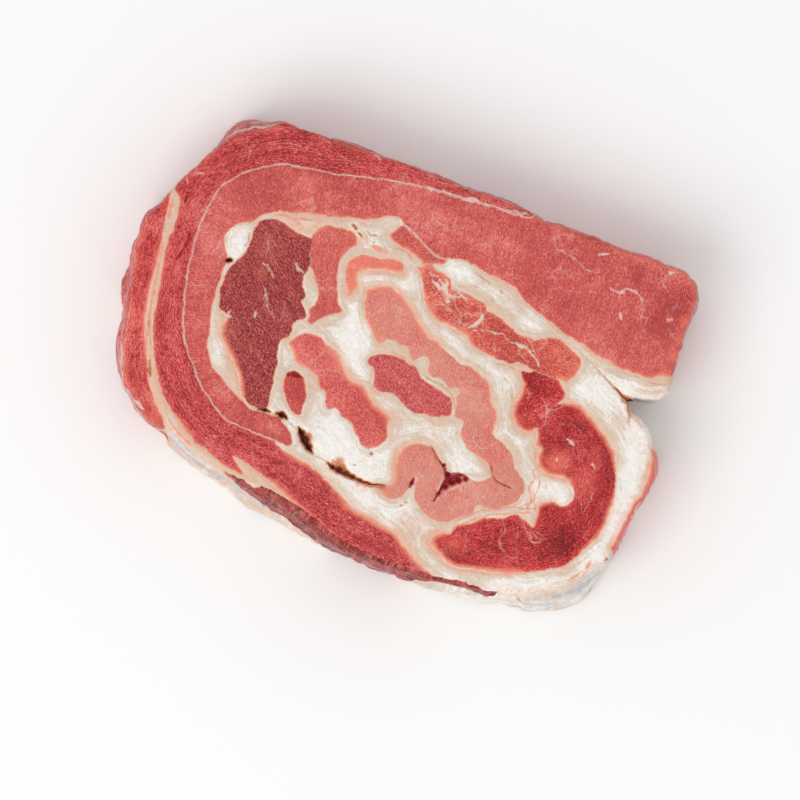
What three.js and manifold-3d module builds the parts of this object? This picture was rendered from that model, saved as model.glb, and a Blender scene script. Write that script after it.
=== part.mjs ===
// A rolled beef brisket portion that lies on its lower cut face. Millimetres, +Z up.
// +X runs along the straight upper edge toward the thick free end of the inner wrap. The origin is
// the middle of the foot. The outlines below are those of the upper cut face, before CENTRE moves
// them over the origin. Each lean muscle and the fat between them runs through the whole portion.

import * as THREE from 'three';
import { mergeVertices } from 'three/addons/utils/BufferGeometryUtils.js';
import Module from 'manifold-3d';

// Driving dimensions.
const HEIGHT = 42;
const CENTRE = [0.72, -0.22];
const GAP = 0.3;
const EDGE_ROUND = 2.4;
const FOOT_ROUND = 2.2;
const FOOT_Z = 3;
const BULGE = 0.7;
const LUMP = 0.55;
const LUMP_LENGTH = 9;
const FLARE_POWER = 1.5;
const RELIEF = 0.45;
const RELIEF_CELL = 11;
const SAMPLE_STEP = 0.7;
const CHORD_ERROR = 0.16;
const WALL_CHORD_ERROR = 0.24;
const BEYOND = 3;
const REACH = 132;
const REACH_Y = 99;
const MITRE_FLOOR = 0.35;
const SIDE_LEAN_TOP = 39.4;
const CREVICE_DEPTH = 17;
const SLIT_DEPTH = 12;
const FLAP_SLIT_DEPTH = 24;

// Edge of the upper cut face: x, y, and how far the foot of the wall stands outside it there.
const RIM = [
  [103.5, 79.2, 0], [96, 79.7, 0], [85, 80.3, 0], [77, 79.7, 0], [64, 80.2, 0], [50, 80.3, 0],
  [40, 79.6, 0], [34.5, 80.4, 0], [28, 81.2, 0], [18, 82, 0], [8, 81.6, 0], [-10, 81.9, 0],
  [-24, 82.2, 0], [-45, 82, 0], [-60, 81.6, 0], [-73, 81.1, 0], [-79.5, 80.4, 0.3],
  [-82.5, 77.3, 1], [-88, 73.8, 3], [-93, 70, 4.5], [-97.5, 64.5, 2.5], [-101, 59.5, 0.8],
  [-105, 52, 0.8], [-109, 44, 0.8], [-112.3, 36.5, 0.5], [-114.3, 31, 0.5], [-117.5, 25.5, 0.5],
  [-118.3, 20, 0.6], [-118, 14, 1.5], [-117, 8, 2], [-116, 3, 2.5], [-115.5, -2, 4.8],
  [-114.3, -7, 4.5], [-112.8, -12, 3.6], [-111.2, -18, 3.6], [-109.8, -25, 3.8],
  [-107.6, -32, 4.2], [-105, -39, 3.8], [-101.5, -45, 3], [-96, -49.5, 2.5], [-90, -53.8, 2.2],
  [-85, -57, 1], [-81.5, -56.5, 2], [-77, -56.5, 5.5], [-71, -59.5, 6], [-63, -62.5, 6],
  [-54, -64.7, 6], [-45, -66.2, 7], [-36, -67.5, 9.5], [-27, -68.5, 9.5], [-18, -70.2, 9],
  [-9, -72.5, 8], [-1, -75.6, 6], [8, -77.8, 4.8], [20, -79, 4.5], [32, -78.8, 4],
  [41, -78.3, 3.7], [50, -77.4, 4.4], [60, -75.9, 5.6], [70, -74.1, 6.3], [79, -72, 6.6],
  [88, -69.3, 8.5], [95, -65.8, 9], [100.5, -61.5, 9.5], [104.5, -56.5, 8.5], [108, -51.5, 6.5],
  [111.5, -47, 4.5], [114, -42, 2.3], [115.2, -36, 1.5], [116.2, -29, 1.2], [117.2, -22, 0.8],
  [118.8, -15, 0.8], [120, -9, 0.8], [119.8, -4, 0.8], [118, 1.5, 0.8], [115, 6, 0.5],
  [111.5, 10, 0.5], [107, 13.8, 0.3], [102, 16.8, 0.2], [98.7, 19.2, 0], [98.2, 21.2, 0],
  [100, 22.3, 0], [105.5, 23.6, 0], [110.5, 25.5, 0], [113, 28.5, 0.2], [113, 32.5, 0.2],
  [112.2, 37, 0], [111.8, 45, 0], [111.6, 56, 0], [111.8, 66, 0], [111.3, 72, 0],
  [109.5, 75.6, 0],
];

// Pale lean of the inner wrap. It turns once round the middle and ends in the thick flap at +X.
const INNER_WRAP = [
  [36, 90], [35, 79.8], [26, 78], [14, 77.8], [4, 76.5], [-2, 76.3], [-10, 76], [-18, 75],
  [-26, 73.7], [-34, 72.2], [-42, 70.2], [-50, 68.2], [-58, 67], [-66, 65.6], [-72, 64.2],
  [-76, 62], [-80, 60], [-84, 57], [-88, 53], [-91, 49.5], [-93, 46], [-94.5, 41], [-95.3, 36],
  [-95.7, 30], [-95.5, 24], [-95, 18], [-94.2, 12], [-92.4, 2], [-91, -4], [-89.5, -9],
  [-87.5, -14], [-85, -19], [-82, -23.5], [-78, -28.5], [-73, -34], [-68, -38], [-62, -42],
  [-58, -44], [-54, -45], [-46, -45.5], [-36, -45.7], [-28.6, -46], [-28, -44], [-29, -42],
  [-31, -39.5], [-34, -37.5], [-38, -36], [-44, -36.3], [-48, -37], [-51, -36.6], [-53, -35],
  [-57, -33], [-61, -31], [-64, -29], [-66.5, -27.5], [-70, -26], [-72.5, -23], [-74.5, -19.5],
  [-75.6, -16], [-76.2, -12.5], [-77.5, -8], [-78.8, -3], [-79.5, 2], [-80, 8], [-80, 15],
  [-80.2, 19.5], [-81.5, 22], [-83.3, 25], [-84, 28.5], [-82.5, 32], [-80, 35], [-78, 36],
  [-75.5, 37], [-74.2, 39], [-72, 41.8], [-69, 44], [-65, 45.7], [-60, 46.8], [-54, 48.5],
  [-48, 49.8], [-44, 50.8], [-40, 52.3], [-36, 53.5], [-30, 55], [-25, 57.5], [-21, 59.3],
  [-18, 59.9], [-16, 58.8], [-14, 57.6], [-10, 55.5], [-8, 55.2], [-5, 53], [-2, 51.8],
  [0, 50.6], [3, 49.9], [7, 50.5], [11, 51.8], [14, 52.4], [18, 52.2], [22, 51.3], [28, 50.3],
  [34, 50], [38, 49], [42, 46.2], [46, 44.3], [52, 42.3], [58, 40.3], [63, 38.2], [68, 37],
  [74, 36], [78, 35], [84, 33.4], [90, 32.5], [98, 32.4], [104, 33], [108, 35], [112.5, 36.3],
  [124, 37], [124, 90],
];

// Dark lean of the outer wrap. Its inner side follows the inner wrap.
const OUTER_WRAP = [
  [37, 96], [37, 76], [0, 70], [-40, 64], [-70, 58], [-85, 45], [-89, 20], [-85, -8], [-72, -28],
  [-50, -41], [-34, -42], [-34, -46.5], [-31, -48], [-26, -49.3], [-20, -50], [-14, -52],
  [-8, -54.5], [-2, -57.5], [4, -60.5], [12, -62.3], [20, -64], [26, -65], [30, -68],
  [34, -70.5], [40, -73.5], [46, -76], [49.5, -77.5], [46, -79.4], [40, -80], [34, -84],
  [30, -90], [8, -90], [5.5, -77.2],
  [-2, -74.2], [-8, -72], [-14, -69.8], [-20, -67.5], [-26, -65], [-32, -62.5], [-38, -60.3],
  [-44, -58.8], [-49, -58.2], [-46.5, -60.8], [-42.5, -63.9], [-48, -63.8], [-54, -62.3],
  [-60, -60.2], [-66, -58], [-71, -55.3], [-76, -51.5], [-80, -48.5], [-84, -45.5],
  [-87.5, -42], [-90, -38], [-92.5, -34], [-95, -29], [-97.5, -24], [-99.5, -19], [-101, -13],
  [-101.8, -7], [-103, -1], [-104, 4], [-105, 9], [-105.8, 15], [-105.8, 21], [-105.2, 27],
  [-106.5, 32], [-108, 36.5], [-112, 39.5], [-128, 50], [-110, 90], [-60, 98],
];

// Lean strip at the -X edge, outside the fat seam.
const LEFT_EDGE = [
  [-111.8, 36.6], [-111, 32], [-110.2, 27], [-109.4, 21.5], [-108.2, 17], [-107.5, 11], [-107, 4],
  [-106.5, -2], [-105.3, -8], [-103.8, -15], [-101.8, -22], [-98.8, -28.5], [-96, -35],
  [-92.8, -41], [-88.5, -47], [-84, -51.5], [-80.6, -55.2], [-79.2, -64], [-104, -62],
  [-126, -36], [-132, 0], [-130, 44], [-116, 44],
];

// Dark muscle inside the inner wrap.
const DARK_MUSCLE = [
  [-73.5, 36], [-72.5, 39], [-70, 41], [-66, 42], [-62, 41.5], [-58, 40], [-52.5, 39.4],
  [-49.5, 39.7], [-48.5, 37], [-48, 33], [-46.5, 30], [-46.3, 27], [-47, 23], [-46, 19],
  [-44, 16], [-44, 13], [-42, 10.5], [-40.2, 8], [-40.7, 6.4], [-43, 5], [-44.5, 3], [-44, 0],
  [-44.5, -3], [-46.5, -5.5], [-46.8, -8], [-46, -11], [-45, -15], [-44.5, -20], [-43.5, -24],
  [-43.2, -28], [-42.7, -31], [-43.5, -34], [-46, -35.5], [-50, -35.6], [-53, -33.9],
  [-56, -32], [-57, -29.5], [-59, -25.5], [-61.5, -23], [-64, -20], [-67, -17.5], [-70, -14],
  [-72, -10.5], [-72.3, -7], [-71.5, -4.3], [-73.5, -3], [-76, -1.5], [-77.5, 2], [-78.5, 6],
  [-78.5, 11], [-78, 16], [-76, 20], [-74, 24], [-73.5, 30],
];

const RED_PANEL = [
  [-50, 39.5], [-49, 42.5], [-45.5, 46.5], [-41, 47.5], [-37, 47.8], [-34, 47.8], [-31.5, 46],
  [-31, 43], [-33, 40.5], [-34.5, 37], [-35, 34], [-34.3, 30], [-33, 26], [-31.5, 22],
  [-29.5, 18], [-27, 15], [-29, 13.5], [-32, 11.5], [-35, 8.5], [-38, 5], [-39.3, 6.2],
  [-39.5, 9], [-40.5, 11], [-39, 14], [-38.5, 17.5], [-40.5, 21], [-43, 24.5], [-45.5, 27.5],
  [-49, 31], [-51, 35],
];

const ARC_LEAN = [
  [-29, 39], [-26, 40.5], [-20, 41.5], [-14, 42.8], [-11, 42.7], [-9, 41.5], [-8, 39.5],
  [-9, 38.2], [-12, 37.2], [-18, 36.7], [-22, 35], [-25, 34], [-26, 32], [-25.5, 30],
  [-24.3, 27], [-24.8, 24], [-26.5, 21.5], [-28, 23], [-29.5, 26], [-31, 30], [-32, 34],
  [-31, 37],
];

// Pale folded muscle in the middle and its lower lobe.
const PALE_FOLD = [
  [-20, 27], [-18.5, 28.5], [-15, 30.5], [-11, 31.8], [-9, 31.5], [-6, 30], [-3, 28], [0, 26],
  [3, 23.5], [6, 21], [9, 19], [12, 17], [16, 16], [20, 14], [22, 13.3], [24, 12.8],
  [26.5, 11.4], [31, 11.5], [35, 10.5], [38, 9.3], [41, 7.8], [42.5, 6], [43.5, 4],
  [44.5, 0.5], [46.5, -1.5], [49, -4], [50, -8], [50.3, -11.5], [53, -13], [56, -14],
  [59, -16], [61.5, -18.5], [63.5, -21.5], [66, -24], [69, -26.5], [70.5, -29.5],
  [70.3, -32.5], [69, -35.5], [66, -38.5], [62, -41], [58, -42], [54.5, -41.7],
  [53.5, -43], [53, -46], [50, -49], [47, -51.5], [44, -53.5], [40, -54], [36, -53.5],
  [32, -52], [29.5, -50], [27.5, -47], [26.3, -43.6], [24.8, -44.4], [23.6, -48], [21, -51],
  [17.5, -52], [14.5, -51.5], [12.6, -49.6], [15.5, -47.5], [17.5, -46], [17.5, -43],
  [16.3, -39], [15.5, -36], [16, -32], [17.5, -29.5], [20, -27.5], [23, -26.3], [26.5, -25.5],
  [29.5, -27], [32.5, -29.5], [35.5, -32], [39, -34.6], [43, -34.6], [46.5, -33], [50, -33],
  [52, -32], [54.5, -30.5], [55.4, -29], [54, -26.5], [53, -25], [50, -23.5], [46, -22.5],
  [42, -21.5], [39.5, -19], [37.3, -16], [36.8, -13], [36.5, -11], [33, -10.3], [32, -8],
  [32, -5.5], [30.8, -3], [31, -0.4], [29, 1.2], [26, -0.3], [24, 1.5], [21, 2.7], [18, 2],
  [15.8, 4], [15.5, 7], [14, 9], [11.5, 9], [9.5, 7], [8, 6], [6.5, 7], [5, 9.5], [2.5, 10],
  [0.5, 9.5], [-2, 10.5], [-5, 10.3], [-7, 8], [-9, 7.8], [-11, 9.5], [-13, 12], [-16, 15],
  [-18.5, 19], [-19.7, 23],
];

const ISLAND_LEAN = [
  [-9.8, 0], [-9, 1.5], [-6.5, 3.3], [-3, 4.5], [0, 5], [4, 5], [7, 3.8], [11, 2.5], [14, 0],
  [18, -0.8], [22, -2], [26, -3], [28.5, -3.5], [30, -5.8], [31, -8.5], [30.7, -11.3],
  [28, -12.5], [24, -14], [20, -13.7], [16, -14.8], [12.5, -14], [9, -12.5], [6, -11],
  [3, -10.8], [0, -11.7], [-3.5, -10.8], [-4.8, -8], [-5.5, -5], [-7, -3], [-9.3, -2],
];

const LONG_LEAN = [
  [-43.5, -5.5], [-42, -2.5], [-40, 0], [-37, 1], [-34.5, 1.8], [-32, 1.7], [-29.5, 0],
  [-26, -1], [-23, -2], [-20.5, -4], [-18, -7], [-15, -10], [-11, -11], [-8, -11.2], [-6, -13],
  [-3, -15], [-1, -16.8], [3, -18], [6, -19.3], [7.8, -20.5], [7, -23], [8, -25.5], [9, -28],
  [8, -31], [6, -34], [3, -35.3], [0, -35], [-2, -33], [-4, -31.5], [-6, -29.5], [-7, -28],
  [-9.5, -27.3], [-12.5, -27], [-14, -25.5], [-16, -24.5], [-18.5, -25.7], [-20.5, -24],
  [-21.5, -21], [-23, -19], [-25.5, -18.2], [-26.7, -16], [-28, -14], [-31, -12.5],
  [-35, -12.3], [-38.5, -11.5], [-40, -9], [-42, -7],
];

const SMALL_LEAN = [
  [-39.5, -17], [-38, -16], [-35, -16], [-32.5, -17], [-31, -19.5], [-29.5, -22.5],
  [-28.3, -25], [-29.3, -28], [-29, -32], [-31, -33], [-33.5, -31.5], [-36, -29],
  [-38, -26.5], [-39.3, -24], [-40, -20],
];

const UPPER_SLIVER = [
  [-19, 52.5], [-18, 54], [-16.5, 56.5], [-13, 60], [-3, 56], [4, 53], [8, 50.5], [7, 48.5],
  [6, 47.5], [3, 46.9], [1, 44.5], [-1, 44.5], [-4, 46.3], [-6, 47], [-9, 48], [-12, 48.3],
  [-15, 49.3], [-17.5, 50.3], [-19, 51.5],
];

const MARBLED_LEAN = [
  [-3.5, 43], [-1.5, 44.5], [-0.5, 46.2], [1.5, 46.2], [5, 44.8], [8, 44], [11, 43], [13, 41],
  [15, 40], [17, 40], [21, 39.5], [26, 38.7], [28, 38.5], [30, 36.5], [33, 36], [36, 35.5],
  [39, 34], [41, 33.5], [43, 32.5], [45, 31.3], [49, 31.2], [53, 31.5], [56, 33], [59, 34.3],
  [62, 35], [66, 34.2], [69, 32.5], [71.5, 31.5], [74, 30], [75, 27.5], [74.5, 24],
  [73.3, 20.5], [71.5, 19.3], [68, 18.8], [64, 18.7], [60, 18.9], [55, 19.3], [50, 20],
  [47, 18.7], [43, 18.4], [38, 19], [33, 19.2], [30, 20.5], [27, 22], [25.5, 23], [22, 23.8],
  [19, 24.5], [15, 24.5], [11, 25.2], [8, 27], [5.5, 29], [3.5, 31.5], [2, 35], [0, 39],
  [-2, 41.5],
];

const ROUND_LOBE = [
  [52, 17], [55, 17.8], [59, 20], [63, 21], [67, 20], [70.5, 17], [73, 14.5], [73, 12],
  [71.5, 9.5], [69.5, 7], [68.8, 4], [69, 1], [68.5, -2], [67, -4], [64, -6.3], [61, -6.3],
  [58, -5], [56.5, -3], [55, -1], [54, 2], [54.5, 5], [55.5, 9], [55, 13], [53.5, 15],
];

// Dark red muscle that follows the +X end round to the lower edge.
const RIGHT_CURVE = [
  [76.3, 12], [78, 12.8], [80.5, 12.3], [84, 10.5], [88, 8], [92, 5.5], [96, 2.5],
  [100, -1.3], [102.5, -5], [104.5, -10], [106, -15], [107.3, -20], [107.5, -26],
  [107.5, -31], [106.5, -36], [104.5, -41], [102, -46], [99.5, -50.5], [97, -54],
  [93.5, -56.3], [90, -58.5], [85, -61], [80, -63], [76, -65], [73, -65.8], [70, -67],
  [66, -67.8], [60, -69], [56, -69.7], [52, -70.3], [49, -69.5], [47, -67.5], [44, -66],
  [41.5, -65], [40.5, -63], [41.5, -60.5], [43.5, -58.5], [47, -57.5], [48.5, -55],
  [49.5, -53], [52, -51.5], [55, -49.5], [57.5, -47], [61, -45], [64.5, -44], [66.5, -43.6],
  [68.5, -41.5], [71.5, -40], [74, -41], [77, -42], [79, -42.6], [79, -38], [78.5, -35],
  [79, -32.5], [81, -31], [84, -30], [88, -30], [90.5, -28], [91, -25], [90.4, -22.6],
  [89, -21], [86, -19.8], [82, -19.7], [77, -20.3], [73.5, -19], [71.3, -16.5], [70.5, -13],
  [71, -11.5], [68.5, -11], [68.5, -8.5], [67.7, -6], [66, -3], [66, 2], [67, 6], [69, 9],
  [72.5, 9.8], [74, 11],
];

// Thin lean strip on the +X side.
const RIGHT_EDGE = [
  [115.3, 5.4], [116.3, 1], [117.2, -3], [117.9, -8], [117.6, -13], [116, -18], [114.9, -23],
  [114.2, -29], [113.6, -35], [112.8, -40.4], [120, -43], [128, -20], [128, 0], [122, 8],
];

// Dark lean that shows on the wall below the lower edge: plan, and the x, z shape it has there.
const SIDE_LEAN = [
  [-52, -62.8], [-45, -64], [-36, -65.2], [-27, -66.2], [-18, -68], [-9, -70.2], [-1, -73.2],
  [8, -75.6], [20, -76.9], [32, -76.8], [41, -76.6], [50, -76], [60, -74.3], [70, -72.6],
  [76, -71], [78, -82], [48, -92], [20, -96], [-20, -92], [-50, -84],
];
const SIDE_LEAN_RISE = [
  [-51, SIDE_LEAN_TOP], [-44, 34.5], [-34, 29.5], [-24, 26.5], [-14, 24.5], [-6, 20], [1, 10],
  [6, -BEYOND], [27, -BEYOND], [33, 8], [38, 21], [42, 31], [47, 36.2], [60, 36], [67, 34.5],
  [71, 30], [74.5, 37.8], [75, SIDE_LEAN_TOP],
];

// Open folds in the cut face: x, y and half the width along the middle line.
const CREVICE = [
  [-46, -35.8, 0.35], [-42, -34.9, 0.5], [-36, -34.6, 0.9], [-31, -36.6, 0.45],
  [-26.4, -38.3, 0.7], [-22.3, -41.8, 2.5], [-18.3, -44.6, 1.5], [-15, -46.4, 0.4],
  [-11, -47.4, 0.4], [-7.4, -46.6, 2], [-3.4, -47.5, 1.6], [1, -49.4, 1.3], [5, -50.4, 1.2],
  [10, -48.8, 0.6], [15, -47.9, 0.4],
];
const SLIT = [
  [36.9, -48.2, 0.3], [37.6, -45, 0.6], [38.3, -41, 0.6], [39.2, -37.6, 1.5],
  [41.6, -35.4, 2], [43.8, -34, 1], [46.8, -32.3, 0.35],
];
const FLAP_SLIT = [
  [57, 36.8, 0.2], [66, 35, 0.25], [75, 32.1, 0.3], [84, 28, 0.4], [91, 24.2, 0.5],
  [96, 21.6, 0.7], [101, 20.6, 1.2],
];

const wasm = await Module();
wasm.setup();

function toRow(outline) {
  return outline.map(([x, y, ...rest]) => [x - CENTRE[0], y - CENTRE[1], ...rest]);
}

// Smooth curve through the points, in equal steps.
function smooth(points, closed) {
  const extra = points[0].length > 2;
  const knots = points.map((p) => new THREE.Vector3(p[0], p[1], extra ? p[2] : 0));
  const curve = new THREE.CatmullRomCurve3(knots, closed, 'centripetal');
  const steps = Math.ceil(curve.getLength() / SAMPLE_STEP);
  const out = curve.getSpacedPoints(steps).map((p) => [p.x, p.y, p.z]);
  if (closed) {
    out.pop();
  }
  return out;
}

function chordDistance(p, a, b) {
  const dx = b[0] - a[0];
  const dy = b[1] - a[1];
  const span = dx * dx + dy * dy;
  const t = span > 0 ? ((p[0] - a[0]) * dx + (p[1] - a[1]) * dy) / span : 0;
  const s = Math.min(1, Math.max(0, t));
  return Math.hypot(p[0] - a[0] - s * dx, p[1] - a[1] - s * dy);
}

// Keeps only the points that the shape needs within the chord error.
function thin(points, error) {
  const keep = new Set([0, points.length - 1]);
  const spans = [[0, points.length - 1]];
  while (spans.length > 0) {
    const [from, to] = spans.pop();
    let worst = error;
    let at = -1;
    for (let i = from + 1; i < to; i += 1) {
      const d = chordDistance(points[i], points[from], points[to]);
      if (d > worst) {
        worst = d;
        at = i;
      }
    }
    if (at > 0) {
      keep.add(at);
      spans.push([from, at], [at, to]);
    }
  }
  return points.filter((p, i) => keep.has(i));
}

function thinLoop(points, error) {
  const half = Math.floor(points.length / 2);
  const first = thin(points.slice(0, half + 1), error);
  const second = thin([...points.slice(half), points[0]], error);
  return [...first, ...second.slice(1, -1)];
}

function signedArea(loop) {
  return loop.reduce((sum, p, i) => {
    const q = loop[(i + 1) % loop.length];
    return sum + (p[0] * q[1] - q[0] * p[1]) / 2;
  }, 0);
}

function counterClockwise(loop) {
  return signedArea(loop) < 0 ? [...loop].reverse() : loop;
}

function edgeNormal(a, b) {
  const length = Math.hypot(b[0] - a[0], b[1] - a[1]) || 1;
  return [(b[1] - a[1]) / length, (a[0] - b[0]) / length];
}

// Outward step at each corner that moves both of its edges out by one unit, less at sharp corners.
function outwardSteps(loop) {
  return loop.map((p, i) => {
    const n = edgeNormal(loop[(i - 1 + loop.length) % loop.length], p);
    const m = edgeNormal(p, loop[(i + 1) % loop.length]);
    const share = Math.max(MITRE_FLOOR, 1 + n[0] * m[0] + n[1] * m[1]);
    return [(n[0] + m[0]) / share, (n[1] + m[1]) / share];
  });
}

function grow(loop, distance) {
  const steps = outwardSteps(loop);
  return loop.map((p, i) => [p[0] + steps[i][0] * distance, p[1] + steps[i][1] * distance]);
}

function solidFrom(positions, triangles) {
  const mesh = new wasm.Mesh({
    numProp: 3,
    vertProperties: new Float32Array(positions),
    triVerts: new Uint32Array(triangles),
  });
  mesh.merge();
  return new wasm.Manifold(mesh);
}

// Stacked rings of equal length, closed with a flat cap at each end.
function loft(rings) {
  const count = rings[0].length;
  const positions = rings.flat().flat();
  const triangles = [];
  for (let r = 0; r < rings.length - 1; r += 1) {
    for (let i = 0; i < count; i += 1) {
      const j = (i + 1) % count;
      const a = r * count + i;
      const b = r * count + j;
      triangles.push(a, b, b + count, a, b + count, a + count);
    }
  }
  const cap = (ring, offset, flip) => {
    const flat = ring.map((p) => new THREE.Vector2(p[0], p[1]));
    for (const [a, b, c] of THREE.ShapeUtils.triangulateShape(flat, [])) {
      const turn = flip ? [a, c, b] : [a, b, c];
      triangles.push(...turn.map((k) => k + offset));
    }
  };
  cap(rings[0], 0, true);
  cap(rings[rings.length - 1], (rings.length - 1) * count, false);
  return solidFrom(positions, triangles);
}

// Upright prism of an outline, grown by a distance, through the whole portion.
function prism(outline, distance, low, high) {
  const loop = counterClockwise(thinLoop(smooth(toRow(outline), true), CHORD_ERROR));
  const flat = distance > 0 ? grow(loop, distance) : loop;
  return loft([flat.map((p) => [p[0], p[1], low]), flat.map((p) => [p[0], p[1], high])]);
}

function through(outline, distance) {
  return prism(outline, distance, -BEYOND, HEIGHT + 2 * BEYOND);
}

// Ribbon of varying width along a middle line, as a closed outline.
function ribbon(line) {
  const middle = smooth(toRow(line), false);
  const left = [];
  const right = [];
  middle.forEach((p, i) => {
    const a = middle[Math.max(0, i - 1)];
    const b = middle[Math.min(middle.length - 1, i + 1)];
    const dx = b[0] - a[0];
    const dy = b[1] - a[1];
    const length = Math.hypot(dx, dy) || 1;
    const half = Math.max(p[2], 0.2);
    left.push([p[0] - (dy / length) * half, p[1] + (dx / length) * half]);
    right.push([p[0] + (dy / length) * half, p[1] - (dx / length) * half]);
  });
  return thinLoop(counterClockwise([...left, ...right.reverse()]), CHORD_ERROR);
}

function pocket(line, depth) {
  const loop = ribbon(line);
  const low = HEIGHT - depth;
  return loft([loop.map((p) => [...p, low]), loop.map((p) => [...p, HEIGHT + 2 * BEYOND])]);
}

function lumpAt(x, y, z) {
  const along = Math.sin((x - 0.6 * y) / LUMP_LENGTH + z / 15) * Math.cos(y / LUMP_LENGTH - z / 21);
  return LUMP * along * Math.sin((Math.PI * z) / HEIGHT);
}

// The wall: rounded foot, a slope out to the flare of each rim point, rounded upper edge.
function wallBody() {
  const loop = counterClockwise(thinLoop(smooth(toRow(RIM), true), WALL_CHORD_ERROR));
  const normals = outwardSteps(loop);
  const ring = (z, inset, slope, bulge) => loop.map((p, i) => {
    const out = p[2] * slope + bulge + lumpAt(p[0], p[1], z) - inset;
    return [p[0] + normals[i][0] * out, p[1] + normals[i][1] * out, z];
  });
  const slopeAt = (z) => 1 - (z / HEIGHT) ** FLARE_POWER;
  const bulgeAt = (z) => BULGE * Math.sin((Math.PI * z) / HEIGHT);
  const rings = [
    ring(0, FOOT_ROUND, 1, 0),
    ring(FOOT_Z * 0.35, FOOT_ROUND * 0.35, 1, 0),
    ring(FOOT_Z, 0, slopeAt(FOOT_Z), bulgeAt(FOOT_Z)),
  ];
  for (const part of [0.3, 0.52, 0.74]) {
    rings.push(ring(HEIGHT * part, 0, slopeAt(HEIGHT * part), bulgeAt(HEIGHT * part)));
  }
  const shoulder = HEIGHT - EDGE_ROUND;
  rings.push(ring(shoulder, 0, slopeAt(shoulder), bulgeAt(shoulder)));
  rings.push(ring(HEIGHT - EDGE_ROUND * 0.4, EDGE_ROUND * 0.2, 0.02, 0));
  rings.push(ring(HEIGHT + EDGE_ROUND * 0.4, EDGE_ROUND * 0.8, 0, 0));
  return loft(rings);
}

// Soft swells and hollows of the upper cut face.
function reliefAt(x, y) {
  const long = Math.sin(x / 23 + 0.6) * Math.cos(y / 19 - 0.4);
  const short = Math.sin(x / 11.5 - y / 14 + 1.1) * 0.45;
  return RELIEF * (long + short);
}

function cutFaceBlock() {
  const nx = Math.round((2 * REACH) / RELIEF_CELL);
  const ny = Math.round((2 * REACH_Y) / RELIEF_CELL);
  const positions = [];
  const triangles = [];
  const at = (i, j) => j * (nx + 1) + i;
  for (const layer of [0, 1]) {
    for (let j = 0; j <= ny; j += 1) {
      for (let i = 0; i <= nx; i += 1) {
        const x = -REACH + (2 * REACH * i) / nx;
        const y = -REACH_Y + (2 * REACH_Y * j) / ny;
        const top = HEIGHT - RELIEF * 1.45 + reliefAt(x, y);
        positions.push(x, y, layer === 1 ? top : -BEYOND);
      }
    }
  }
  const lift = (nx + 1) * (ny + 1);
  for (let j = 0; j < ny; j += 1) {
    for (let i = 0; i < nx; i += 1) {
      const [a, b, c, d] = [at(i, j), at(i + 1, j), at(i + 1, j + 1), at(i, j + 1)];
      triangles.push(a, c, b, a, d, c);
      triangles.push(a + lift, b + lift, c + lift, a + lift, c + lift, d + lift);
    }
  }
  const side = (a, b) => triangles.push(a, b, b + lift, a, b + lift, a + lift);
  for (let i = 0; i < nx; i += 1) {
    side(at(i, 0), at(i + 1, 0));
    side(at(i + 1, ny), at(i, ny));
  }
  for (let j = 0; j < ny; j += 1) {
    side(at(nx, j), at(nx, j + 1));
    side(at(0, j + 1), at(0, j));
  }
  return solidFrom(positions, triangles);
}

// Side lean: its plan and its side shape together.
function sideLean(distance) {
  const plan = prism(SIDE_LEAN, distance, -BEYOND, HEIGHT + BEYOND);
  const shape = SIDE_LEAN_RISE.map(([x, z]) => [x - CENTRE[0], z]);
  const loop = grow(counterClockwise(shape), distance);
  const band = loft([loop.map((p) => [...p, -REACH]), loop.map((p) => [...p, REACH])]);
  return plan.intersect(band.rotate([90, 0, 0]));
}

const body = wallBody().intersect(cutFaceBlock())
  .subtract(pocket(CREVICE, CREVICE_DEPTH))
  .subtract(pocket(SLIT, SLIT_DEPTH))
  .subtract(pocket(FLAP_SLIT, FLAP_SLIT_DEPTH));

const group = new THREE.Group();
const taken = [];

function toGeometry(solid) {
  const mesh = solid.getMesh();
  const stride = mesh.numProp;
  const positions = new Float32Array((mesh.vertProperties.length / stride) * 3);
  for (let i = 0; i < positions.length / 3; i += 1) {
    positions.set(mesh.vertProperties.subarray(i * stride, i * stride + 3), i * 3);
  }
  const raw = new THREE.BufferGeometry();
  raw.setAttribute('position', new THREE.BufferAttribute(positions, 3));
  raw.setIndex(Array.from(mesh.triVerts));
  const merged = mergeVertices(raw, 1e-4);
  merged.computeVertexNormals();
  return merged;
}

function addMesh(name, solid, color, roughness) {
  const material = new THREE.MeshStandardMaterial({ color, roughness, metalness: 0 });
  material.name = name;
  const mesh = new THREE.Mesh(toGeometry(solid), material);
  mesh.name = name;
  group.add(mesh);
}

// Cuts a muscle out of the body. What is made earlier keeps its place, with a gap round it.
function carve(name, shape, color, roughness) {
  const solid = taken.reduce((left, earlier) => left.subtract(earlier), shape(0).intersect(body));
  taken.push(shape(GAP));
  addMesh(name, solid, color, roughness);
}

function muscle(name, outline, color, roughness) {
  carve(name, (distance) => through(outline, distance), color, roughness);
}

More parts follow.
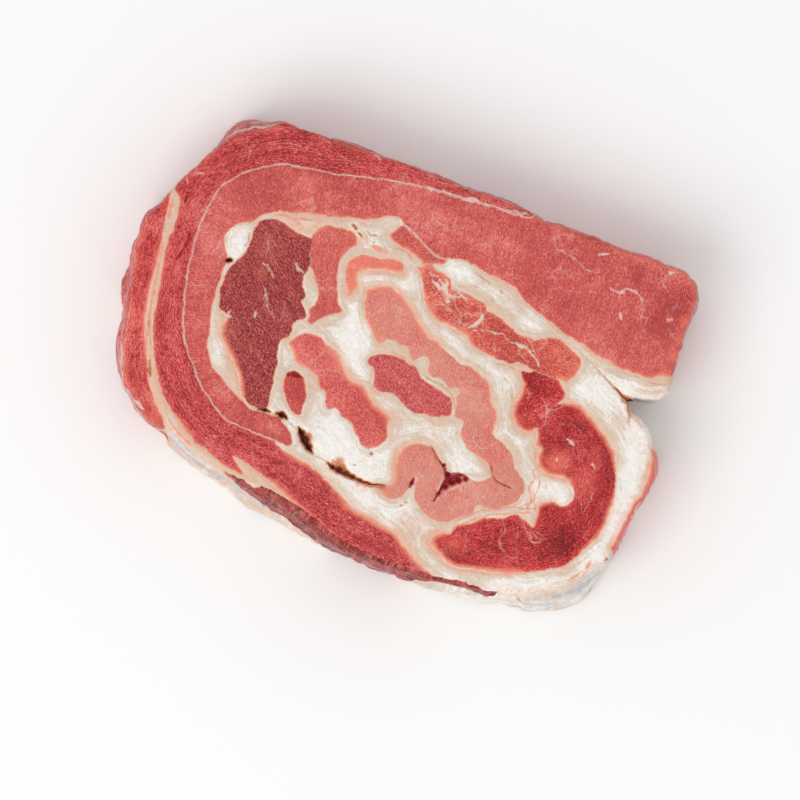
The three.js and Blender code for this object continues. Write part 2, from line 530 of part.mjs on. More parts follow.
carve('side_lean', sideLean, 0x9c3531, 0.5);
muscle('left_edge_lean', LEFT_EDGE, 0xcf5448, 0.48);
muscle('inner_wrap_lean', INNER_WRAP, 0xcd6059, 0.5);
muscle('outer_wrap_lean', OUTER_WRAP, 0xbb4a49, 0.52);
muscle('dark_muscle', DARK_MUSCLE, 0x9c3d40, 0.55);
muscle('red_panel_lean', RED_PANEL, 0xcf5c54, 0.5);
muscle('marbled_lean', MARBLED_LEAN, 0xcd5c50, 0.52);
muscle('upper_sliver_lean', UPPER_SLIVER, 0xc95a51, 0.5);
muscle('arc_lean', ARC_LEAN, 0xe47a66, 0.45);
muscle('pale_fold_lean', PALE_FOLD, 0xdb8576, 0.48);
muscle('island_lean', ISLAND_LEAN, 0xc24f52, 0.5);
muscle('long_lean', LONG_LEAN, 0xd56258, 0.5);
muscle('small_lean', SMALL_LEAN, 0xc45250, 0.5);
muscle('round_lobe_lean', ROUND_LOBE, 0xb84042, 0.52);
muscle('right_curve_lean', RIGHT_CURVE, 0xae393b, 0.52);
muscle('right_edge_lean', RIGHT_EDGE, 0xdf6b52, 0.45);

// The fat that is left. The outer wrap parts it into a seam at -X and the fat of the roll.
const fat = taken.reduce((left, muscleShape) => left.subtract(muscleShape), body);
const fatParts = fat.decompose().sort((a, b) => b.volume() - a.volume());
addMesh('roll_fat', fatParts[0], 0xe9e1d5, 0.42);
addMesh('seam_fat', fatParts[1], 0xe4dad0, 0.42);

export default group;
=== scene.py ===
"""Detailed rolled beef brisket portion that lies on its lower cut face.

Lengths in the tables are millimetres on the upper cut face, before CENTRE moves them over the
origin. Every lean muscle, and the fat between them, runs through the whole portion.
"""

import math

import bpy
import numpy as np
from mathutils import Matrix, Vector
from mathutils.geometry import delaunay_2d_cdt
from mathutils.kdtree import KDTree


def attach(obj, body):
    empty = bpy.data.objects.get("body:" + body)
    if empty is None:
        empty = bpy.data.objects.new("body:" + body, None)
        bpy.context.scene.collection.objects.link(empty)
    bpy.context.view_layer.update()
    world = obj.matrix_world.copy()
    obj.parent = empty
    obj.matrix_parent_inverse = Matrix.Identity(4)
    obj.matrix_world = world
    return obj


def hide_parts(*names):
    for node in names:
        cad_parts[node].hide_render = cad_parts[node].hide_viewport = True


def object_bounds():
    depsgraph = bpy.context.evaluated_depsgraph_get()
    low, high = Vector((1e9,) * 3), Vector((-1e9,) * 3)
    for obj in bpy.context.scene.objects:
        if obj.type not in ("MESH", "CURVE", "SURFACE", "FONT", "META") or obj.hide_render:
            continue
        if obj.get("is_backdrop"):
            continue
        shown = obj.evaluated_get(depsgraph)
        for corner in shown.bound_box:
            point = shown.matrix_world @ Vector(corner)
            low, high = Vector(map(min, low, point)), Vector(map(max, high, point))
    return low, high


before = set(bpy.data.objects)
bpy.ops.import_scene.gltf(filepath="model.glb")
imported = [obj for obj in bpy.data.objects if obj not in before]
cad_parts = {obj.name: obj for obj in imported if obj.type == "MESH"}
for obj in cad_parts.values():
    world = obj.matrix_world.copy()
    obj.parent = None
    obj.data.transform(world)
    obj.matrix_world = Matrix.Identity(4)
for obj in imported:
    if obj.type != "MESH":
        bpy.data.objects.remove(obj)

bl_info = {
    "name": "Beef Brisket Portion",
    "version": (1, 0, 0),
    "blender": (4, 5, 0),
    "location": "View3D > Sidebar > Brisket",
    "description": "Builds the muscles and fat of a rolled beef brisket portion",
    "category": "Add Mesh",
}

CAD_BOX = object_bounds()
MM = 0.001
CENTRE = np.array([0.72, -0.22])
HEIGHT = 42.0
SEED = 11

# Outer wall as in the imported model, then what the visible lip and openings add to it.
FOOT_ROUND = 2.2
FOOT_Z = 3.0
BULGE = 0.7
LUMP = 0.55
LUMP_LENGTH = 9.0
FLARE_POWER = 1.5
RELIEF = 0.45
LIP_INSET = 0.7
LIP_DROP = 0.35
LIP_WIDTH = 1.2
LIP_DEPTH = 2.2
OPENING_WIDTH_LEAST = 0.1
FAT_RIDGES = 0.55
BEYOND = 3.0

# Edge of the upper cut face: x, y, and how far the foot of the wall stands outside it.
RIM = (
    (103.5, 79.2, 0), (96, 79.7, 0), (85, 80.3, 0), (77, 79.7, 0), (64, 80.2, 0), (50, 80.3, 0),
    (40, 79.6, 0), (34.5, 80.4, 0), (28, 81.2, 0), (18, 82, 0), (8, 81.6, 0), (-10, 81.9, 0),
    (-24, 82.2, 0), (-45, 82, 0), (-60, 81.6, 0), (-73, 81.1, 0), (-79.5, 80.4, 0.3),
    (-82.5, 77.3, 2.4), (-88, 73.8, 6), (-93, 70, 6.6), (-97.5, 64.5, 3), (-101, 59.5, 0.8),
    (-105, 52, 0.8), (-109, 44, 0.8), (-112.3, 36.5, 0.5), (-114.3, 31, 0.5), (-117.5, 25.5, 0.5),
    (-118.3, 20, 0.6), (-118, 14, 1.5), (-117, 8, 2), (-116, 3, 2.5), (-115.5, -2, 4.8),
    (-114.3, -7, 4.5), (-112.8, -12, 3.6), (-111.2, -18, 3.6), (-109.8, -25, 3.8),
    (-107.6, -32, 4.2), (-105, -39, 3.8), (-101.5, -45, 3), (-96, -49.5, 2.5), (-90, -53.8, 2.2),
    (-85, -57, 1), (-81.5, -56.5, 2), (-77, -56.5, 5.5), (-71, -59.5, 6), (-63, -62.5, 6),
    (-54, -64.7, 6), (-45, -66.2, 7), (-36, -67.5, 9.5), (-27, -68.5, 9.5), (-18, -70.2, 9),
    (-9, -72.5, 8), (-1, -75.6, 6), (8, -77.8, 4.8), (20, -79, 4.5), (32, -78.8, 4),
    (41, -78.3, 3.7), (50, -77.4, 4.4), (60, -75.9, 5.6), (70, -74.1, 6.3), (79, -72, 6.6),
    (88, -69.3, 8.5), (95, -65.8, 9), (100.5, -61.5, 9.5), (104.5, -56.5, 8.5), (108, -51.5, 6.5),
    (111.5, -47, 4.5), (114, -42, 2.3), (115.2, -36, 1.5), (116.2, -29, 1.2), (117.2, -22, 0.8),
    (118.8, -15, 0.8), (120, -9, 0.8), (119.8, -4, 0.8), (118, 1.5, 0.8), (115, 6, 0.5),
    (111.5, 10, 0.5), (107, 13.8, 0.3), (102, 16.8, 0.2), (98.7, 19.2, 0), (98.2, 21.2, 0),
    (100, 22.3, 0), (105.5, 23.6, 0), (110.5, 25.5, 0), (113, 28.5, 0.2), (113, 32.5, 0.2),
    (112.2, 37, 0), (111.8, 45, 0), (111.6, 56, 0), (111.8, 66, 0), (111.3, 72, 0),
    (109.5, 75.6, 0),
)
# Pale lean of the inner wrap, with the thick flap at +X.
INNER_WRAP = (
    (36, 90), (35, 79.8), (26, 78), (14, 77.8), (4, 76.5), (-2, 76.3), (-10, 76), (-18, 75),
    (-26, 73.7), (-34, 72.2), (-42, 70.2), (-50, 68.2), (-58, 67), (-66, 65.6), (-72, 64.2),
    (-76, 62), (-80, 60), (-84, 57), (-88, 53), (-91, 49.5), (-93, 46), (-94.5, 41), (-95.3, 36),
    (-95.7, 30), (-95.5, 24), (-95, 18), (-94.2, 12), (-92.4, 2), (-91, -4), (-89.5, -9),
    (-87.5, -14), (-85, -19), (-82, -23.5), (-78, -28.5), (-73, -34), (-68, -38), (-62, -42),
    (-58, -44), (-54, -45), (-46, -45.5), (-36, -45.7), (-28.6, -46), (-28, -44), (-29, -42),
    (-31, -39.5), (-34, -37.5), (-38, -36), (-44, -36.3), (-48, -37), (-51, -36.6), (-53, -35),
    (-57, -33), (-61, -31), (-64, -29), (-66.5, -27.5), (-70, -26), (-72.5, -23), (-74.5, -19.5),
    (-75.6, -16), (-76.2, -12.5), (-77.5, -8), (-78.8, -3), (-79.5, 2), (-80, 8), (-80, 15),
    (-80.2, 19.5), (-81.5, 22), (-83.3, 25), (-84, 28.5), (-82.5, 32), (-80, 35), (-78, 36),
    (-75.5, 37), (-74.2, 39), (-72, 41.8), (-69, 44), (-65, 45.7), (-60, 46.8), (-54, 48.5),
    (-48, 49.8), (-44, 50.8), (-40, 52.3), (-36, 53.5), (-30, 55), (-25, 57.5), (-21, 59.3),
    (-18, 59.9), (-16, 58.8), (-14, 57.6), (-10, 55.5), (-8, 55.2), (-5, 53), (-2, 51.8), (0, 50.6),
    (3, 49.9), (7, 50.5), (11, 51.8), (14, 52.4), (18, 52.2), (22, 51.3), (28, 50.3), (34, 50),
    (38, 49), (42, 46.2), (46, 44.3), (52, 42.3), (58, 40.3), (63, 38.2), (68, 37), (74, 36),
    (78, 35), (84, 33.4), (90, 32.5), (98, 32.4), (104, 33), (108, 35), (112.5, 36.3), (124, 37),
    (124, 90),
)
# Dark lean of the outer wrap. Its inner side follows the inner wrap.
OUTER_WRAP = (
    (37, 96), (37, 76), (0, 70), (-40, 64), (-70, 58), (-85, 45), (-89, 20), (-85, -8), (-72, -28),
    (-50, -41), (-34, -42), (-34, -46.5), (-31, -48), (-26, -49.3), (-20, -50), (-14, -52),
    (-8, -54.5), (-2, -57.5), (4, -60.5), (12, -62.3), (20, -64), (26, -65), (30, -68), (34, -70.5),
    (40, -73.5), (46, -76), (49.5, -77.5), (46, -79.4), (40, -80), (34, -84), (30, -90), (8, -90),
    (5.5, -77.2), (-2, -74.2), (-8, -72), (-14, -69.8), (-20, -67.5), (-26, -65), (-32, -62.5),
    (-38, -60.3), (-44, -58.8), (-49, -58.2), (-46.5, -60.8), (-42.5, -63.9), (-48, -63.8),
    (-54, -62.3), (-60, -60.2), (-66, -58), (-71, -55.3), (-76, -51.5), (-80, -48.5), (-84, -45.5),
    (-87.5, -42), (-90, -38), (-92.5, -34), (-95, -29), (-97.5, -24), (-99.5, -19), (-101, -13),
    (-101.8, -7), (-103, -1), (-104, 4), (-105, 9), (-105.8, 15), (-105.8, 21), (-105.2, 27),
    (-106.5, 32), (-108, 36.5), (-112, 39.5), (-128, 50), (-110, 90), (-60, 98),
)
# Lean strip at the -X edge.
LEFT_EDGE = (
    (-111.8, 36.6), (-111, 32), (-110.2, 27), (-109.4, 21.5), (-108.2, 17), (-107.5, 11), (-107, 4),
    (-106.5, -2), (-105.3, -8), (-103.8, -15), (-101.8, -22), (-98.8, -28.5), (-96, -35),
    (-92.8, -41), (-88.5, -47), (-84, -51.5), (-80.6, -55.2), (-79.2, -64), (-104, -62),
    (-126, -36), (-132, 0), (-130, 44), (-116, 44),
)
DARK_MUSCLE = (
    (-73.5, 36), (-72.5, 39), (-70, 41), (-66, 42), (-62, 41.5), (-58, 40), (-52.5, 39.4),
    (-49.5, 39.7), (-48.5, 37), (-48, 33), (-46.5, 30), (-46.3, 27), (-47, 23), (-46, 19),
    (-44, 16), (-44, 13), (-42, 10.5), (-40.2, 8), (-40.7, 6.4), (-43, 5), (-44.5, 3), (-44, 0),
    (-44.5, -3), (-46.5, -5.5), (-46.8, -8), (-46, -11), (-45, -15), (-44.5, -20), (-43.5, -24),
    (-43.2, -28), (-42.7, -31), (-43.5, -34), (-46, -35.5), (-50, -35.6), (-53, -33.9), (-56, -32),
    (-57, -29.5), (-59, -25.5), (-61.5, -23), (-64, -20), (-67, -17.5), (-70, -14), (-72, -10.5),
    (-72.3, -7), (-71.5, -4.3), (-73.5, -3), (-76, -1.5), (-77.5, 2), (-78.5, 6), (-78.5, 11),
    (-78, 16), (-76, 20), (-74, 24), (-73.5, 30),
)
RED_PANEL = (
    (-50, 39.5), (-49, 42.5), (-45.5, 46.5), (-41, 47.5), (-37, 47.8), (-34, 47.8), (-31.5, 46),
    (-31, 43), (-33, 40.5), (-34.5, 37), (-35, 34), (-34.3, 30), (-33, 26), (-31.5, 22),
    (-29.5, 18), (-27, 15), (-29, 13.5), (-32, 11.5), (-35, 8.5), (-38, 5), (-39.3, 6.2),
    (-39.5, 9), (-40.5, 11), (-39, 14), (-38.5, 17.5), (-40.5, 21), (-43, 24.5), (-45.5, 27.5),
    (-49, 31), (-51, 35),
)
ARC_LEAN = (
    (-29, 39), (-26, 40.5), (-20, 41.5), (-14, 42.8), (-11, 42.7), (-9, 41.5), (-8, 39.5),
    (-9, 38.2), (-12, 37.2), (-18, 36.7), (-22, 35), (-25, 34), (-26, 32), (-25.5, 30), (-24.3, 27),
    (-24.8, 24), (-26.5, 21.5), (-28, 23), (-29.5, 26), (-31, 30), (-32, 34), (-31, 37),
)
PALE_FOLD = (
    (-20, 27), (-18.5, 28.5), (-15, 30.5), (-11, 31.8), (-9, 31.5), (-6, 30), (-3, 28), (0, 26),
    (3, 23.5), (6, 21), (9, 19), (12, 17), (16, 16), (20, 14), (22, 13.3), (24, 12.8), (26.5, 11.4),
    (31, 11.5), (35, 10.5), (38, 9.3), (41, 7.8), (42.5, 6), (43.5, 4), (44.5, 0.5), (46.5, -1.5),
    (49, -4), (50, -8), (50.3, -11.5), (53, -13), (56, -14), (59, -16), (61.5, -18.5),
    (63.5, -21.5), (66, -24), (69, -26.5), (70.5, -29.5), (70.3, -32.5), (69, -35.5), (66, -38.5),
    (62, -41), (58, -42), (54.5, -41.7), (53.5, -43), (53, -46), (50, -49), (47, -51.5),
    (44, -53.5), (40, -54), (36, -53.5), (32, -52), (29.5, -50), (27.5, -47), (26.3, -43.6),
    (24.8, -44.4), (23.6, -48), (21, -51), (17.5, -52), (14.5, -51.5), (12.6, -49.6), (15.5, -47.5),
    (17.5, -46), (17.5, -43), (16.3, -39), (15.5, -36), (16, -32), (17.5, -29.5), (20, -27.5),
    (23, -26.3), (26.5, -25.5), (29.5, -27), (32.5, -29.5), (35.5, -32), (39, -34.6), (43, -34.6),
    (46.5, -33), (50, -33), (52, -32), (54.5, -30.5), (55.4, -29), (54, -26.5), (53, -25),
    (50, -23.5), (46, -22.5), (42, -21.5), (39.5, -19), (37.3, -16), (36.8, -13), (36.5, -11),
    (33, -10.3), (32, -8), (32, -5.5), (30.8, -3), (31, -0.4), (29, 1.2), (26, -0.3), (24, 1.5),
    (21, 2.7), (18, 2), (15.8, 4), (15.5, 7), (14, 9), (11.5, 9), (9.5, 7), (8, 6), (6.5, 7),
    (5, 9.5), (2.5, 10), (0.5, 9.5), (-2, 10.5), (-5, 10.3), (-7, 8), (-9, 7.8), (-11, 9.5),
    (-13, 12), (-16, 15), (-18.5, 19), (-19.7, 23),
)
ISLAND_LEAN = (
    (-9.8, 0), (-9, 1.5), (-6.5, 3.3), (-3, 4.5), (0, 5), (4, 5), (7, 3.8), (11, 2.5), (14, 0),
    (18, -0.8), (22, -2), (26, -3), (28.5, -3.5), (30, -5.8), (31, -8.5), (30.7, -11.3),
    (28, -12.5), (24, -14), (20, -13.7), (16, -14.8), (12.5, -14), (9, -12.5), (6, -11), (3, -10.8),
    (0, -11.7), (-3.5, -10.8), (-4.8, -8), (-5.5, -5), (-7, -3), (-9.3, -2),
)
LONG_LEAN = (
    (-43.5, -5.5), (-42, -2.5), (-40, 0), (-37, 1), (-34.5, 1.8), (-32, 1.7), (-29.5, 0), (-26, -1),
    (-23, -2), (-20.5, -4), (-18, -7), (-15, -10), (-11, -11), (-8, -11.2), (-6, -13), (-3, -15),
    (-1, -16.8), (3, -18), (6, -19.3), (7.8, -20.5), (7, -23), (8, -25.5), (9, -28), (8, -31),
    (6, -34), (3, -35.3), (0, -35), (-2, -33), (-4, -31.5), (-6, -29.5), (-7, -28), (-9.5, -27.3),
    (-12.5, -27), (-14, -25.5), (-16, -24.5), (-18.5, -25.7), (-20.5, -24), (-21.5, -21),
    (-23, -19), (-25.5, -18.2), (-26.7, -16), (-28, -14), (-31, -12.5), (-35, -12.3),
    (-38.5, -11.5), (-40, -9), (-42, -7),
)
SMALL_LEAN = (
    (-39.5, -17), (-38, -16), (-35, -16), (-32.5, -17), (-31, -19.5), (-29.5, -22.5), (-28.3, -25),
    (-29.3, -28), (-29, -32), (-31, -33), (-33.5, -31.5), (-36, -29), (-38, -26.5), (-39.3, -24),
    (-40, -20),
)
UPPER_SLIVER = (
    (-19, 52.5), (-18, 54), (-16.5, 56.5), (-13, 60), (-3, 56), (4, 53), (8, 50.5), (7, 48.5),
    (6, 47.5), (3, 46.9), (1, 44.5), (-1, 44.5), (-4, 46.3), (-6, 47), (-9, 48), (-12, 48.3),
    (-15, 49.3), (-17.5, 50.3), (-19, 51.5),
)
MARBLED_LEAN = (
    (-3.5, 43), (-1.5, 44.5), (-0.5, 46.2), (1.5, 46.2), (5, 44.8), (8, 44), (11, 43), (13, 41),
    (15, 40), (17, 40), (21, 39.5), (26, 38.7), (28, 38.5), (30, 36.5), (33, 36), (36, 35.5),
    (39, 34), (41, 33.5), (43, 32.5), (45, 31.3), (49, 31.2), (53, 31.5), (56, 33), (59, 34.3),
    (62, 35), (66, 34.2), (69, 32.5), (71.5, 31.5), (74, 30), (75, 27.5), (74.5, 24), (73.3, 20.5),
    (71.5, 19.3), (68, 18.8), (64, 18.7), (60, 18.9), (55, 19.3), (50, 20), (47, 18.7), (43, 18.4),
    (38, 19), (33, 19.2), (30, 20.5), (27, 22), (25.5, 23), (22, 23.8), (19, 24.5), (15, 24.5),
    (11, 25.2), (8, 27), (5.5, 29), (3.5, 31.5), (2, 35), (0, 39), (-2, 41.5),
)
ROUND_LOBE = (
    (52, 17), (55, 17.8), (59, 20), (63, 21), (67, 20), (70.5, 17), (73, 14.5), (73, 12),
    (71.5, 9.5), (69.5, 7), (68.8, 4), (69, 1), (68.5, -2), (67, -4), (64, -6.3), (61, -6.3),
    (58, -5), (56.5, -3), (55, -1), (54, 2), (54.5, 5), (55.5, 9), (55, 13), (53.5, 15),
)
RIGHT_CURVE = (
    (76.3, 12), (78, 12.8), (80.5, 12.3), (84, 10.5), (88, 8), (92, 5.5), (96, 2.5), (100, -1.3),
    (102.5, -5), (104.5, -10), (106, -15), (107.3, -20), (107.5, -26), (107.5, -31), (106.5, -36),
    (104.5, -41), (102, -46), (99.5, -50.5), (97, -54), (93.5, -56.3), (90, -58.5), (85, -61),
    (80, -63), (76, -65), (73, -65.8), (70, -67), (66, -67.8), (60, -69), (56, -69.7), (52, -70.3),
    (49, -69.5), (47, -67.5), (44, -66), (41.5, -65), (40.5, -63), (41.5, -60.5), (43.5, -58.5),
    (47, -57.5), (48.5, -55), (49.5, -53), (52, -51.5), (55, -49.5), (57.5, -47), (61, -45),
    (64.5, -44), (66.5, -43.6), (68.5, -41.5), (71.5, -40), (74, -41), (77, -42), (79, -42.6),
    (79, -38), (78.5, -35), (79, -32.5), (81, -31), (84, -30), (88, -30), (90.5, -28), (91, -25),
    (90.4, -22.6), (89, -21), (86, -19.8), (82, -19.7), (77, -20.3), (73.5, -19), (71.3, -16.5),
    (70.5, -13), (71, -11.5), (68.5, -11), (68.5, -8.5), (67.7, -6), (66, -3), (66, 2), (67, 6),
    (69, 9), (72.5, 9.8), (74, 11),
)
RIGHT_EDGE = (
    (115.3, 5.4), (116.3, 1), (117.2, -3), (117.9, -8), (117.6, -13), (116, -18), (114.9, -23),
    (114.2, -29), (113.6, -35), (112.8, -40.4), (120, -43), (128, -20), (128, 0), (122, 8),
)
# Dark lean on the wall below the lower edge: plan, and its x, z shape there.
SIDE_LEAN = (
    (-52, -62.8), (-45, -64), (-36, -65.2), (-27, -66.2), (-18, -68), (-9, -70.2), (-1, -73.2),
    (8, -75.6), (20, -76.9), (32, -76.8), (41, -76.6), (50, -76), (60, -74.3), (70, -72.6),
    (76, -71), (78, -82), (48, -92), (20, -96), (-20, -92), (-50, -84),
)
SIDE_LEAN_RISE = (
    (-51, 39.4), (-44, 34.5), (-34, 29.5), (-24, 26.5), (-14, 24.5), (-6, 20), (1, 10), (6, -3),
    (27, -3), (33, 8), (38, 21), (42, 31), (47, 36.2), (60, 36), (67, 34.5), (71, 30), (74.5, 37.8),
    (75, 39.4),
)
# Open folds in the cut face: depth, then x, y and half the width.
FAT_OPENINGS = (
    (3.0, (-46, -35.8, 0.1), (-43.2, -35.1, 0.28), (-41, -35.1, 0.1)),
    (3.5, (-38.4, -34.9, 0.12), (-36.8, -34.6, 0.5), (-35, -34.7, 0.75), (-33.2, -35.5, 0.12)),
    (5.0, (-27.6, -37, 0.15), (-25.6, -39, 1.0), (-23.2, -41.4, 1.5), (-20.8, -43.6, 1.1),
     (-18.2, -45.4, 0.15)),
    (3.4, (-11, -47, 0.2), (-8, -47.9, 0.9), (-5, -48.2, 1.15), (-1, -48.6, 0.95), (3, -49.2, 0.6),
     (8, -49.3, 0.4), (15, -47.8, 0.15)), (3.0, (92, 23.9, 0.1), (96, 21.9, 0.3), (101, 20.6, 0.9)),
)
LEAN_OPENINGS = (
    (2.4, (36.3, -46.8, 0.1), (37.4, -42, 0.3), (38.2, -38.8, 0.7), (39.6, -35.6, 1.35),
     (41.6, -33.6, 1.1), (44.6, -32.3, 0.2)),
    (1.2, (35, -31, 0.12), (36.4, -33, 0.4), (38, -35.4, 0.5)),
    (1.5, (25.4, -41, 0.1), (25.1, -42.8, 0.35), (24.9, -44.6, 0.1)),
)

